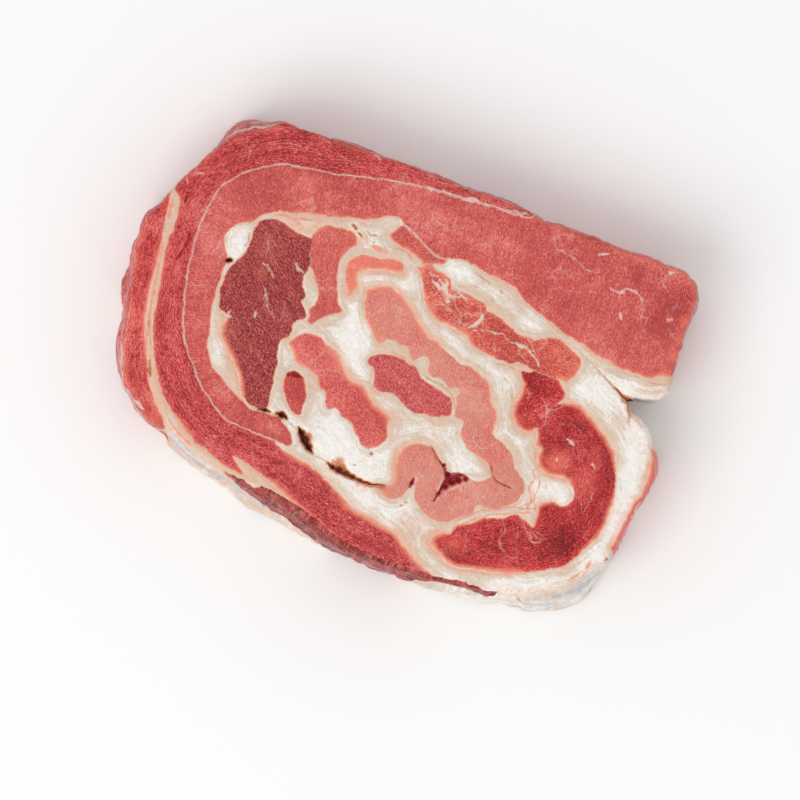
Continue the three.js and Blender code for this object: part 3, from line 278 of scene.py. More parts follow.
# Lines and spots that show on the cut face: half width, then the points of the middle line.
WHITE_LINES = (
    (0.6, (-12, 75.9), (-6, 76.5), (4, 77.1), (12, 77.9)),
    (0.4, (12, 77.9), (20, 78.4), (27, 79), (33, 80)),
    (0.5, (-19, 60.4), (-17.8, 59.1), (-9.6, 56.3), (-5, 53.8), (-1.3, 51.9), (4.2, 50.2), (8, 51)),
    (0.5, (76, 62.4), (78, 62), (80, 62.6), (82.5, 64.9), (85.5, 64.4), (88.2, 64)),
    (0.95, (79, 62.1), (81.2, 63)), (0.8, (84.2, 65), (86.8, 64.6)), (0.5, (80, 62), (80.4, 59.8)),
    (0.4, (87.5, 64.3), (89.6, 62.3), (90.2, 60)), (0.9, (96.6, 77.2), (98.3, 78)),
    (0.8, (102.6, 58.4), (104.3, 59.4)), (0.3, (103.4, 62), (104.2, 65.5), (103.6, 68)),
    (0.22, (-78, 71), (-72, 73.5), (-66, 74.3)), (0.31, (-61, 79), (-58, 80.3), (-55.2, 79.2)),
    (0.25, (-52.5, 76.5), (-46, 76), (-42, 77)), (0.19, (-60, 70.5), (-57, 71.5), (-52, 73)),
    (0.31, (-96, 52), (-94, 53.2), (-92, 54)), (0.43, (-37, 80.8), (-35, 81.2), (-33, 80.6)),
    (0.25, (-14, 79.5), (-9, 80.6), (-3, 80), (1, 81), (6, 80.4)),
    (0.25, (-26, 76.5), (-24, 77.6), (-21, 79)), (0.64, (-106, 48.2), (-104, 49), (-102, 49.2)),
    (0.37, (-108, 45.5), (-107, 44.6), (-106.5, 43)),
    (0.22, (-101.3, 38), (-101.5, 32), (-101.2, 26)), (0.25, (-102.8, 19.8), (-102.3, 18)),
    (0.22, (-95, 8.2), (-94.2, 6.8)), (0.22, (-97.4, -2.2), (-96.8, -3.9)),
    (0.22, (-95, -6.5), (-94, -9.5), (-92.5, -12)), (0.22, (-91, -27), (-90, -29)),
    (0.19, (-63, -48), (-59, -49.5), (-55, -51.5)),
    (0.19, (-58.5, -57), (-55, -58.5), (-52, -59.5)),
    (0.22, (-8, -62), (-3, -64.5), (3, -67), (10, -70)), (0.31, (4, -64), (5.5, -65.5), (7, -67)),
    (0.19, (-27.5, -53), (-26.5, -54)), (0.19, (-31.5, -56), (-30.5, -57)),
    (0.19, (-37.5, 64.5), (-36, 65.4), (-34, 66)), (0.19, (-8.5, 64.8), (-6, 64.3)),
    (0.22, (14, 66.2), (17, 66), (20, 65.2)), (0.19, (26, 64.5), (28, 63)),
    (0.19, (-90, 31), (-88.5, 33.5)), (0.72, (66, 74), (68, 75), (70, 75.8)),
    (0.31, (53, 75.6), (55, 76.3)),
    (0.38, (50, 70.5), (54, 69.8), (57, 69), (60, 67.8), (62.5, 66.6)),
    (0.36, (62.5, 66.6), (66, 66.4), (69, 67.3)), (0.12, (69, 67.3), (71.5, 66.3), (76, 62.8)),
    (0.12, (80, 61.5), (81.5, 58), (83.5, 54.5)), (0.8, (82.8, 54), (83.8, 52.2)),
    (0.19, (63, 66), (62.6, 63.5), (62.3, 61)), (0.19, (63.5, 57.7), (65, 55), (66.7, 52)),
    (0.25, (61, 57.5), (61.6, 57.5)), (0.25, (77.7, 51.8), (78.3, 51.8)),
    (0.25, (70.5, 44), (71.1, 44)), (0.25, (108.2, 68.5), (108.8, 68.5)),
    (0.19, (103.5, 66), (103, 63), (105, 60)), (0.25, (98, 77.8), (99.5, 78.6), (101, 78.6)),
    (0.19, (87, 72), (87.6, 69.5), (88, 67)), (0.19, (90, 60), (92, 54), (97, 50), (104, 45)),
    (0.19, (98, 41), (101, 37)), (0.37, (54, 80.2), (57, 80.6), (60, 80)),
    (0.31, (36, 79.5), (39, 79.6), (42, 79.2)),
    (0.28, (-118, 10), (-116, 5), (-115.5, 0), (-113, -9), (-111, -15), (-110, -22), (-108, -30),
     (-105, -39), (-102, -45), (-97, -49)), (0.25, (-111.8, -12.5), (-110.2, -13.5)),
    (0.25, (-110.6, -17), (-109.4, -18)), (0.25, (-110.4, -22.5), (-109.2, -23.6)),
    (1.04, (-97, -50), (-94, -51), (-91, -52.5)), (0.36, (-62, 14), (-59, 10), (-58, 7), (-54, 3)),
    (0.19, (-60.5, -2), (-58, -4.5), (-53, -6.5)), (0.19, (-48, -8.5), (-46.5, -9)),
    (0.22, (-72.5, 2), (-73, -2)), (0.8, (-65.2, 22.4), (-63.6, 22), (-62.4, 22.4)),
    (0.45, (-62.6, 22), (-60.8, 20.6), (-59, 18)), (0.3, (-66.5, 32), (-65, 29.6), (-64.4, 26)),
    (0.35, (-57.5, 42), (-56.8, 41)), (0.2, (53.3, -51.8), (54.9, -57.9), (56.6, -64)),
    (0.2, (71.2, -41.3), (74, -46.5), (75.6, -52)),
    (0.28, (65.2, -43.4), (68.7, -48), (68, -53.6), (73.2, -58)),
    (0.4, (78.6, -44.4), (81.1, -48.8), (85, -47.4)), (0.24, (96.9, -31), (98.2, -24.7), (99, -19)),
    (0.2, (60.4, -62.2), (66.6, -59.5), (73.2, -58), (78.5, -57.8), (83.9, -59)),
    (0.2, (73.6, -0.2), (79.1, 3.2), (85, 1.8)), (0.3, (85.6, -2), (80.6, -5.7)),
    (0.35, (68, 5.4), (71.8, 7.2), (74.8, 11.4)), (0.3, (63.8, 9.7), (67.6, 6.6), (68.7, 1.2)),
    (0.2, (87.9, -8.8), (91.6, -12.8), (92.9, -20), (98.6, -25.9)),
    (0.5, (36.4, -31.6), (37.1, -34.9), (36.7, -38.6), (36.6, -44.5), (36.9, -47.9)),
    (0.45, (41.2, -40.1), (44.6, -37.1), (46.3, -39.2)),
    (0.35, (46.8, -34.5), (51, -32.5), (55.4, -30)),
    (0.25, (43.1, -14.4), (43.8, -17.7), (47.7, -18.5)), (0.7, (79, -12.6), (79.6, -13.4)),
    (0.6, (93.3, -8.7), (95.6, -11.4)), (0.55, (-53.2, 28), (-51, 26), (-47.9, 24.8)),
    (0.7, (-74, -2.4), (-71, -3.4), (-68.2, -3.4)), (0.8, (-61.2, 2.6), (-61, 0.6)),
    (0.34, (-68.9, 5), (-66.8, 4.4), (-65, 3.8)), (0.5, (-71.6, -3), (-71, -0.4)),
    (0.3, (-61.4, -3), (-60.4, -6.4)), (0.25, (-55, 40.5), (-53.5, 42.8), (-51, 43.4), (-50, 41.5)),
    (0.19, (-42, 34), (-40.5, 30), (-39, 26), (-38, 23), (-37.5, 20)),
    (0.19, (-45, 38), (-42.5, 34.5)), (0.15, (-37, 40), (-36, 36)),
    (0.19, (-29, 35.5), (-27.5, 34.5), (-26, 33)), (0.32, (9, 33), (16, 31), (20, 29), (25, 27)),
    (0.75, (25, 26.5), (27.5, 29), (29.5, 33)), (0.5, (28, 30.5), (30.5, 36.5)),
    (0.3, (20, 28.5), (22, 25.5), (25, 26)), (0.16, (35.5, 35), (34.6, 31)),
    (0.16, (38, 34), (37.4, 30.5)), (0.16, (41, 33), (40.2, 30)),
    (0.4, (27, 26), (33, 28), (39, 28.4), (44, 27)), (0.5, (44, 27), (50, 27), (54, 25.2)),
    (0.6, (54, 25.2), (57, 23.5), (59, 20.5)), (0.35, (53, 26), (56, 28.5), (58, 32)),
    (0.25, (37, 25.5), (38.5, 23), (40, 21.5)), (0.22, (31, 26.5), (31.2, 24.5)),
    (0.25, (43, 23), (44.3, 21)), (0.19, (60, 29.3), (62, 28.8)),
    (0.22, (60, 27), (62.5, 26.6), (65, 26.9)),
    (0.8, (9, 43.5), (10.5, 41), (9.8, 38.5), (12, 36.5), (13, 33.5)),
    (0.7, (12, 42.5), (13.4, 40.2), (15.5, 39)), (0.6, (4, 40.5), (7, 38.5), (10, 38)),
    (0.6, (11.5, 37.5), (15, 36.8), (18, 37.5)), (0.45, (8, 36), (6, 33.5), (5, 31.5)),
    (0.5, (14, 39.5), (18, 38.6), (20, 36.5)), (0.45, (1, 43.5), (4, 42), (6, 42.6)),
    (0.6, (7, 41.6), (9.4, 39.6)), (0.55, (13, 35), (15.4, 33.4)), (0.5, (16, 40.6), (17.6, 38)),
    (0.19, (-15, 25), (-12.5, 19), (-10, 14)),
    (0.28, (43.5, -12), (43.5, -16), (45, -18.7), (48.5, -19), (50, -17)),
    (0.22, (44.5, -38), (47, -39.8)), (0.22, (50, -36), (52, -38.5), (54, -41)),
    (0.22, (25, -36), (27, -38.5), (30, -39)), (0.19, (33, -42), (36, -43)),
    (0.25, (-39, -3), (-38.5, -5.5), (-37.5, -7)), (0.25, (-29.2, -6), (-28.7, -6)),
    (0.22, (-18, -17.3), (-15, -18.8)), (0.8, (80, -3), (82, -3.8), (84, -4.6)),
    (1.2, (118.8, -18), (118.2, -25), (116.8, -33)), (0.7, (115, -26), (113.6, -31)),
    (0.25, (78.8, -12.8), (79.3, -12.8)), (0.22, (91, -8.5), (94, -10.5), (97, -12)),
    (0.22, (94, -24), (95.5, -28), (97, -31)),
    (0.2, (54, -51), (53.4, -54), (54.6, -58), (56.4, -62)),
    (0.18, (60.5, -46.5), (61.5, -50), (64, -53), (65, -57)),
    (0.22, (67, -45.5), (67.6, -50), (69, -54), (72, -56.5)), (0.16, (72, -56.5), (73.5, -62)),
    (0.2, (72, -43), (74, -48), (73, -52)), (0.3, (80, -45), (83, -46.5), (86, -45)),
    (0.16, (56.4, -62), (62, -60.5), (66, -61)),
)
LILAC_LINES = (
    (0.45, (-27, 15.5), (-32, 25), (-34.3, 34), (-33, 39.5), (-30, 41.5), (-18, 43.7), (-12, 44.5),
     (-8, 43.5), (-2, 38.5), (2.5, 32), (8, 26), (18, 22.7), (30, 18.7), (36, 18)),
    (0.7, (-72, 39.5), (-70, 41), (-66.5, 42)), (0.8, (-92, 77), (-87, 79.5), (-81.5, 81)),
    (1.2, (-119.5, 1), (-119.6, -3), (-118.6, -8)),
    (1.7, (-79, -58), (-72, -61.5), (-64, -64.5), (-56, -67), (-48, -69.2), (-40, -71), (-33, -73),
     (-28, -75)), (0.4, (36, -48), (36.6, -43), (37.6, -39.5), (36.8, -36), (34.2, -31)),
    (0.4, (38.4, -44.5), (41, -40.4), (43.6, -38.4), (46, -36.4), (47.6, -34)),
    (0.4, (49, -31), (52, -31.6), (54.5, -31.6)), (0.5, (25.8, -39), (26.2, -42), (26.4, -45.5)),
    (2.4, (90, -73), (98, -69), (106, -62), (112, -54)), (0.5, (74, -78.5), (79, -78.3)),
    (0.5, (82.5, -77.6), (84.5, -76.6)),
)
BROWN_LINES = (
    (0.3, (-109.3, 25), (-108.5, 21)), (0.35, (-102, -15), (-99.5, -22), (-97, -27)),
    (0.35, (20, 49.3), (25, 48), (28, 47.2)), (0.3, (21, 44), (24, 44)),
    (0.6, (32.5, 46), (33.5, 45)), (0.25, (34, 45), (40, 43), (47, 40.5)),
    (0.2, (57, 36.8), (66, 35), (75, 32), (84, 28)), (0.35, (78, 30.8), (82, 28.8), (87, 26.2)),
    (0.6, (86, 26.7), (91, 24.2), (96, 21.6)), (1.5, (95, 22), (98, 20.4), (100.5, 19.4)),
    (0.8, (99, 19.4), (100.6, 16.5), (102, 12.5)),
    (1.3, (-9, -45.2), (-5.5, -47), (-1.5, -48.6), (4, -49.6)),
    (0.7, (3, -50.4), (9, -50), (15, -48.4)), (0.35, (-34, -35.6), (-30, -37.2), (-27.4, -37.8)),
    (0.3, (-18.6, -45.8), (-14, -46.4), (-10, -46.6)), (0.3, (-41, -35.2), (-38.4, -35)),
    (0.3, (-50, -36.2), (-46, -35.8)),
    (0.35, (-2, 6), (4, 5.5), (9, 3.8), (15, 1), (24, -0.3), (28, -2), (31.5, -7)),
    (0.3, (56, -29.5), (60, -30.2), (64, -30.5)), (0.8, (25.4, -51.5), (25.8, -51.3)),
    (0.7, (24, -53.2), (24.4, -53)), (0.7, (-28.5, 50), (-26.5, 49.2), (-24.5, 49.8)),
    (0.7, (-24.5, 46.8), (-24.1, 46.8)), (0.3, (42, 16.5), (46, 17.3), (50, 16.8)),
    (0.3, (44, 13), (50, 10), (53.5, 3)), (0.5, (-0.4, -44), (0, -44)),
    (0.4, (-75, 33), (-74.2, 29), (-75, 25)), (0.25, (96, 33), (102, 31), (108, 31.5), (112, 33)),
    (0.25, (100, 27), (106, 27.5), (111, 30)), (0.5, (82, -72), (86, -74.5), (90, -76.5)),
    (0.7, (104, -68), (107, -65), (109, -63.5)), (0.4, (-85, 78.5), (-88, 76), (-92, 73.5)),
)
ORANGE_LINES = (
    (0.6, (-33, 52.5), (-30, 53)), (1.4, (-24, 44.8), (-18.5, 44.6)),
    (0.35, (-16, 47.5), (-10, 47.5), (-6, 44.5)),
    (0.5, (-107.3, 16), (-106, 6), (-104.9, -2), (-103.4, -10), (-101.4, -20), (-98.6, -30)),
    (0.9, (-110, 35), (-109.4, 30), (-109, 27)),
    (0.35, (71, -20), (73, -24), (72, -28), (74.5, -32), (74, -37)),
    (0.35, (74, -21), (76, -26), (75.5, -31), (78, -36)), (0.3, (77.5, -22), (79.5, -27)),
    (0.35, (78, -35), (73, -37), (68, -38), (62, -41.5), (56, -44), (52, -48), (46, -54)),
    (0.3, (77, -37.5), (70, -40), (64, -42.6), (58, -45.6), (53, -50), (48, -54.8)),
    (0.3, (75, -33.5), (72, -36)), (0.5, (-80, -52.5), (-76, -55.5), (-70, -58.5), (-66, -60)),
    (0.4, (-67, 43.5), (-63, 44.6), (-59, 44.2), (-56, 45.8), (-52, 46.4)),
    (0.9, (107, -48), (106, -51.5)), (0.4, (105, -53), (103, -56), (101, -58.5)),
    (1.2, (-97.5, 69.5), (-95.5, 73), (-92, 76)),
)
# Creases, slits and small pits: the face dips along them, and their dark brown or dark red colour
# is painted shade.
SHADED_CREASES = (
    (0.55, (-104.7, 40), (-104.7, 36)), (0.5, (-98.5, 24), (-98, 20), (-99, 15), (-100, 11.5)),
    (0.6, (-96, -32), (-93.5, -38)), (0.2, (53.1, -23.7), (58, -29.5), (61.3, -30.1), (65, -30.5)),
    (0.9, (-79.9, 18.4), (-79, 19.2), (-77.8, 19.4)), (1.2, (-35, 50.5), (-33, 49.5)),
    (0.3, (-32, 48.5), (-29.5, 47.2)),
    (1.2, (-39, -18.2), (-38.4, -17.6), (-37.2, -17), (-35.7, -16.8), (-33.6, -17.2)),
    (0.4, (-46, -35.4), (-42, -34.9)), (1.0, (-38, -34.5), (-34, -34.6)),
    (0.4, (25.3, -41), (25, -44)), (0.4, (3.1, 66.8), (3.5, 66.8)),
    (0.35, (27.6, -25.4), (31, -28.6), (35, -31.6)), (0.6, (113, -44.8), (115, -47.5)),
)
# Where the lean fades into the fat instead of ending sharply.
GLOW_LINES = (
    (0.9, (-26, -2.2), (-22, -3.8), (-17, -7.5), (-13, -10.6), (-6, -13), (0, -17), (7, -20.5)),
    (0.9, (-28, 22), (-25.5, 26), (-25, 33), (-18, 36.4), (-10, 38), (-7.5, 40)),
    (0.4, (-31, 40), (-24, 41.5), (-14, 43)), (0.5, (-43, -6), (-40, -9.5), (-35, -12)),
    (1.0, (16.5, -29), (15.5, -36), (17, -42), (17.5, -47), (14, -51.5)),
    (0.4, (-20, 25), (-18, 18), (-14, 12), (-9, 8.5)), (0.6, (40, 8.5), (45, 2), (50, -9)),
    (0.9, (-19, 27.5), (-14, 31), (-9, 31.8), (-3, 28), (3, 23), (9, 19), (16, 16)),
    (1.1, (70, -10), (71.5, -16), (75, -19.5), (82, -20), (87, -19)),
    (1.0, (43, -57), (40.4, -62), (45, -67), (53, -70), (62, -68.5), (72, -66), (80, -63.5)),
    (0.6, (55, 9), (53.5, 2), (56, -3)), (0.4, (84, -30), (79, -33), (78.6, -40)),
    (0.6, (76, 12.5), (86, 9), (95, 3), (103, -6)), (0.5, (107, -20), (107, -32), (103, -44)),
    (0.6, (55, 12), (54.5, 4), (57, -3), (62, -6.5), (67, -5)),
    (0.9, (-8, -60), (0, -61.6), (10, -62.4), (18, -64), (26, -65.6), (34, -69.6), (42, -74.5)),
    (0.8, (-73, -5), (-70, -12), (-64, -19), (-58, -26), (-55, -31)),
    (0.6, (-30, -62), (-18, -67), (-6, -72), (4, -77)), (0.4, (-31, -49), (-20, -50.6), (-8, -55)),
    (0.7, (114, 8), (116, 2), (115.5, -10), (113, -20), (112, -30), (112, -38)),
    (0.4, (58, 39), (70, 35), (80, 33), (92, 35), (110, 37)),
    (0.5, (-90, -48), (-80, -51.5), (-70, -55)), (0.5, (-10, 48), (-6, 45.5), (-3, 43)),
    (0.6, (5, 33), (10, 26), (20, 24), (27, 23)),
)
# Hollows in the fat, most of them beside its open folds, where the face dips and painted shade
# darkens it to brown: x, y, radius, strength.
SHADED_HOLLOWS = (
    (-25.4, -39, 1.5, 1.3), (-23.2, -41, 2.0, 1.4), (-20.8, -43.4, 1.6, 1.3),
    (-20.8, -39.8, 2.8, 0.2), (-22.4, -39.2, 1.8, 0.5), (-8.4, -47.9, 1.2, 1.2),
    (-5.4, -48.2, 1.5, 1.3), (-2.2, -48.5, 1.4, 1.2), (1, -48.9, 1.1, 1.1), (4.4, -49.2, 0.9, 1.0),
    (8.4, -49.2, 0.8, 0.8), (-6.3, -44.8, 2.4, 0.4), (-4.6, -46.4, 1.7, 0.55),
    (-36, -34.6, 1.5, 1.3), (-43.4, -35, 1.0, 1.1), (-79.4, 18.7, 1.0, 1.3),
    (-78.4, 19.2, 0.8, 1.2),
)
# Hollows in the lean in the same way, darkened to deep red with painted shade.
RED_SHADED_HOLLOWS = (
    (40.6, -36.4, 1.7, 1.5), (38.2, -34.2, 1.0, 1.3), (43.2, -35, 1.3, 1.4),
    (38.8, -39.4, 1.2, 1.3), (35.4, -31, 0.7, 0.8), (45.8, -33.4, 1.1, 1.1), (37.2, -43, 0.8, 0.9),
    (25.2, -42.6, 0.9, 0.5), (5, -37, 0.9, 0.4), (-37, -17, 0.9, 0.8), (-35.4, -17, 0.9, 0.8),
    (114, -46, 1.3, 0.8),
)
# Soft spots: x, y, radius, lightness change, warmth.
SPOTS = (
    (-88, 67, 7, -0.35, 0), (-109.5, 1.5, 4, -0.3, 0), (-103.5, -25, 4, -0.3, 0),
    (83, 72.5, 4, -0.5, 0), (101, 56, 9, -0.4, 0), (20, 34, 8, -0.45, 0),
    (-59.5, 60.3, 4.2, 0.5, 0), (-64, 56, 0.9, 0.8, 0), (13.5, 68, 1.2, 0.6, 0),
    (103.5, 58.8, 2.2, 0.5, 0), (40.5, -8.5, 1, -0.4, 0.7), (44.5, -1, 1, -0.3, 0.6),
    (53, -22.5, 5, -0.25, 0.4), (-6, 18.5, 3, -0.2, 0.4), (88, -52, 9, -0.14, 0),
    (70, -52, 7, -0.2, 0), (60, 12, 7, -0.25, 0), (-50, 30, 10, -0.1, 0), (110.5, 60, 3, 0.1, 0.8),
    (111, 45, 3, 0.1, 0.8), (-10, -50, 6, 0.1, 0.3), (-60, 8, 11, -0.12, 0),
    (-66, 28, 6, 0.15, 0.2), (-69, -8, 4, 0.3, 0.2), (-38, -8, 6, 0.15, 0), (-16, -15, 7, -0.15, 0),
    (-2, -24, 7, -0.1, 0), (-34, -22, 5, -0.5, 0), (8, -7, 9, -0.1, 0), (82, 8, 8, -0.25, 0),
    (78, -15, 6, 0.3, 0.35), (96, -3, 7, -0.15, 0), (94, -42, 8, -0.3, 0), (101, -30, 5, -0.25, 0),
    (50, -62, 5, 0.12, 0.3), (80, -14, 5, 0.2, 0.8), (92, -18, 6, 0.4, 0.4), (66, -56, 6, -0.3, 0),
    (40, -62, 4, 0, 0.5), (94, -6, 4, 0.3, 0.2), (-56, 44, 5, 0, 1), (-50, 46, 4, 0, 0.9),
    (-30, 47, 4, 0, 0.7), (-66.5, 33, 2, 0.2, 0.5), (-64.4, 18.5, 3, 0.15, 0.4),
    (5.8, -51, 3, 0, 0.9), (96, 19, 7, 0.2, 0), (106.7, 6, 7, 0.3, 0), (111, -10, 7, 0.3, 0),
    (111, -27, 7, 0.3, 0), (106, -45, 7, 0.3, 0), (93, -60, 7, 0.25, 0), (74.6, -70, 7, 0.25, 0),
    (53, -72.5, 6, 0.2, 0), (35.6, 42, 6, 0.2, 0), (49, 35.5, 6, 0.25, 0), (26, 25, 6, 0.2, 0),
    (37, 20, 6, 0.2, 0), (65, 14, 5, -0.35, 0), (61, -2, 4, 0.2, 0.2), (92, 66, 8, -0.25, 0),
    (72, 50, 12, 0.1, 0), (40, 62, 14, -0.12, 0), (-10, 62, 16, 0.06, 0), (-86, 25, 14, 0.15, 0),
    (104, 68, 7, -0.3, 0), (84, 71, 6, -0.2, 0), (99, 55, 5, -0.3, 0), (96, 40, 8, 0.12, 0),
    (62, 58, 9, 0.12, 0), (76, 44, 8, 0.1, 0), (107, 48, 5, -0.08, 0), (20, 58, 9, -0.1, 0),
    (-35, 60, 9, -0.08, 0), (-76, 55, 7, 0.08, 0), (-90, 12, 6, 0.12, 0), (-70, -32, 8, 0.12, 0),
    (-10, -38, 9, 0.4, 0), (-16, -22, 6, 0.3, 0), (10, 46, 5, 0.3, 0), (-18, 8, 8, 0.35, 0),
    (50, 40, 8, 0.25, 0), (40, -20, 3, 0.3, 0), (82, 18, 7, 0.3, 0), (-76, 24, 4, 0.4, 0),
    (30, -62, 8, -0.3, 0.3), (100, 10, 7, -0.2, 0.2), (108, 28, 8, -0.2, 0.3),
    (-65, 44, 4, -0.2, 0.5), (-40, 50, 5, -0.2, 0.3), (-90, 50, 3, -0.1, 0.3),
    (-60, -42, 12, -0.05, 0), (-112, -20, 6, 0.1, 0.25), (-109, -38, 6, -0.1, 0),
    (-112, 12, 6, -0.25, 0), (-105, 33, 6, 0.2, 0.3), (-70, 78, 8, -0.2, 0), (-30, 78, 10, 0.1, 0),
    (5, 77, 8, -0.1, 0.1), (-75, -40, 9, -0.15, 0), (-30, -58, 9, -0.15, 0), (10, -68, 8, -0.1, 0),
    (28, -70, 6, 0.15, 0.1), (116, 0, 5, 0.35, 0.3), (114, -25, 9, 0.35, 0.3),
    (-85, -54, 4, 0.1, 0.7), (33, 36, 6, -0.3, 0), (48, 24, 8, -0.15, 0), (62, 30, 7, 0.1, 0),
)
# Tissue that stands out from the wall: half width, height, then the middle line in plan.
WALL_FOLDS = (
    (1.6, 1.0, (97, -73), (102, -71), (107, -67), (111, -61)),
    (1.2, 0.8, (80, -77), (86, -77.5), (92, -76)), (1.4, 0.7, (-75, -61), (-62, -67), (-50, -71)),
    (1.0, 0.6, (-40, -74), (-28, -76), (-16, -78.5)), (1.0, 0.7, (50, -80.5), (60, -80), (68, -79)),
)

# Pieces: the node that each stands for, its own name, the slot of its finish, the direction of
# its grain on the cut face in degrees unless that follows a line, and its outline. What comes
# first keeps its place where two outlines meet.
PIECES = {
    "side_lean": ("side_meat", "lean_side", 80, SIDE_LEAN),
    "left_edge_lean": ("left_edge_meat", "lean_edge", None, LEFT_EDGE),
    "inner_wrap_lean": ("inner_wrap_meat", "lean_inner", None, INNER_WRAP),
    "outer_wrap_lean": ("outer_wrap_meat", "lean_outer", None, OUTER_WRAP),
    "dark_muscle": ("dark_meat", "lean_dark", -40, DARK_MUSCLE),
    "red_panel_lean": ("red_panel_meat", "lean_panel", -72, RED_PANEL),
    "marbled_lean": ("marbled_meat", "lean_marbled", -15, MARBLED_LEAN),
    "upper_sliver_lean": ("upper_sliver_meat", "lean_panel", 20, UPPER_SLIVER),
    "arc_lean": ("arc_meat", "lean_arc", 25, ARC_LEAN),
    "pale_fold_lean": ("pale_fold_meat", "lean_peach", -40, PALE_FOLD),
    "island_lean": ("island_meat", "lean_island", -25, ISLAND_LEAN),
    "long_lean": ("long_meat", "lean_long", -35, LONG_LEAN),
    "small_lean": ("small_meat", "lean_long", 75, SMALL_LEAN),
    "round_lobe_lean": ("round_lobe_meat", "lean_lobe", 60, ROUND_LOBE),
    "right_curve_lean": ("right_curve_meat", "lean_curve", None, RIGHT_CURVE),
    "right_edge_lean": ("right_edge_meat", "lean_edge", None, RIGHT_EDGE),
    "roll_fat": ("roll_fat_tissue", "fat_roll", None, None),
    "seam_fat": ("seam_fat_tissue", "fat_seam", None, None),
}
FATS = ("roll_fat", "seam_fat")
WRAPS = ("inner_wrap_lean", "outer_wrap_lean")
EDGE_STRIPS = ("left_edge_lean", "right_edge_lean")
ORDER = [node for node in PIECES if node not in FATS]
FAT = -1

# Lines that the grain follows, along the outer sides of the inner wrap and the right curve.
SEAM_GUIDE = ((111, 80), (80, 79.8), (55, 79.8)) + INNER_WRAP[1:47] + (
    (-20, -50), (-8, -54.5), (4, -60.5), (20, -64), (34, -70.5), (49.5, -77.5))
CURVE_GUIDE = RIGHT_CURVE[:42]
GRAIN_STRETCH = 9.0

# How borders wander on the cut face (length, amount, seed) and drift aside below it.
WANDER = ((7.0, 0.34, 1), (2.6, 0.3, 3), (1.25, 0.22, 5))
DRIFT = 3.8
DRIFT_LENGTH = 16.0
DRIFT_START = 1.5
DRIFT_DEPTH = 26.0
LEVELS = (-BEYOND, 10, 21, 31, 38.5, HEIGHT + 2 * BEYOND)

# Smooth noise: a lattice of random values, turned so that it lies along no axis.
TURN = np.array([[0.74, -0.48, 0.47], [0.59, 0.80, -0.11], [-0.32, 0.36, 0.88]])
LATTICE = np.random.default_rng(SEED).uniform(-1.0, 1.0, (32, 32, 32))
LATTICE_MASK = 31
SHIFT_CELLS = 5

# Steps along curves, and distances that keep points of a mesh apart.
SPAN_SAMPLES = 24
OUTLINE_STEP = 0.5
OPENING_STEP = 0.3
POCKET_STEP = 0.5
MARK_STEP = 0.45
MARK_SIDE = 0.3
MARK_GAP = 0.42
MARK_SPACING = 0.28
LIP_GAP = 0.35
GRID_MARGIN = 0.45
GRID_JITTER = 0.16
ROW_SHARE = 0.866
FOOT_STEP = 4.0
FOOT_MARGIN = 2.2
RIM_SMOOTHING = 24
PROBE = 0.45
BATCH = 8000
TINY = 1e-9
LEAST_GAP = 1e-4
LEAST_LENGTH = 1e-6

# Lines on the cut face: how they waver, taper at their ends, vary in width and break up.
LINE_STEP = 0.4
LINE_MARGIN = 0.8
WAVER = 0.32
WAVER_LENGTHS = (2.3, 0.9)
WAVER_SHARE = 0.5
END_WIDTH = 0.45
TAPER_WIDTH = 0.55
TAPER_LENGTH = 2.5
WIDTH_CHANGE = 0.5
WIDTH_LENGTH = 1.7
SOFT_INSIDE = 0.4
SOFT_OUTSIDE = 0.6
GAP_LENGTH = 1.9
GAP_RANGE = (-0.3, 0.45)
FAINT_GAIN = 1.4

# Relief of the cut face. Noise layers are amount, length and seed.
LONG_WAVES = (23, 19)
LONG_PHASES = (0.6, 0.4)
SHORT_WAVES = (11.5, 14)
SHORT_PHASE = 1.1
SHORT_SHARE = 0.45
WAVES_TOP = 1.45
FAT_RISE = 0.22
FAT_RISE_WIDTH = 1.6
GROOVE = 0.16
GROOVE_WIDTH = 0.6
FACE_DROP = 0.1
FACE_SWELL = (0.22, 5.5, 2)
FACE_LIP_FADE = (0, 4)
TEXTURE = (2.1, 4)
FINE_TEXTURE = (1.05, 6)
FINE_TEXTURE_SHARE = 0.6
RIDGE_EDGE_FADE = (0.2, 1.6)
RIDGE_LIP_FADE = (0, 3)
RIDGE_BEND = 1.1
RIDGE_BEND_LENGTH = 4
RIDGE_LEVEL = 0.4
RIDGE_LENGTH = 2.6
SMALL_RIDGE_LENGTH = 1.2
SMALL_RIDGE_SHARE = 0.5
DARK_LINE_DEPTH = 0.9
DARK_LINE_SOFTNESS = 0.7
BROWN_LINE_DEPTH = 0.22
BROWN_LINE_SOFTNESS = 0.6
OPENING_SAG = 0.2
OPENING_SAG_RANGE = (-0.2, 1.6)
GLOOM_DEPTH = 1.5

# Wall: depths of its rings below the lip, for a wall of the nominal height, and its unevenness.
NEAR_LIP = np.array([0.25, 0.55, 0.9, 1.3, 1.75, 2.3])
NEAR_FOOT = np.array([2.5, 1.9, 1.3, 0.75, 0.3, 0.0])
MIDDLE_START = 3.0
MIDDLE_END = 0.3
WALL_NOMINAL = 41.0
LUMP_SKEW = 0.6
LUMP_RISES = (15, 21)
WALL_LIP_FADE = (0, 3)
WALL_FOOT_FADE = (0, 2.5)
STRAND_LENGTH = 15
STRAND_HEIGHT = 2.4
STRAND_DEPTH = 0.42
STRAND_WAVES = (2.5, 22, 5)
WALL_SWELL = (0.9, 13, 1)
WALL_BUMPS = (0.5, 5.5, 3)
WALL_GRAIN = (0.16, 1.8, 2)
WALL_INSET = 0.2
FOLD_STEP = 0.8

# Side lean: how its shape is cut out along Y. Openings: share of the depth and of the width.
BAND_STEP = 1.0
BAND_WAVER = 0.6
BAND_WAVER_LENGTH = 4
BAND_REACH = 99.0
POCKET_PROFILE = ((1.0, 0.25), (0.7, 0.5), (0.35, 0.85), (0.1, 1.1), (-0.6, 1.5))


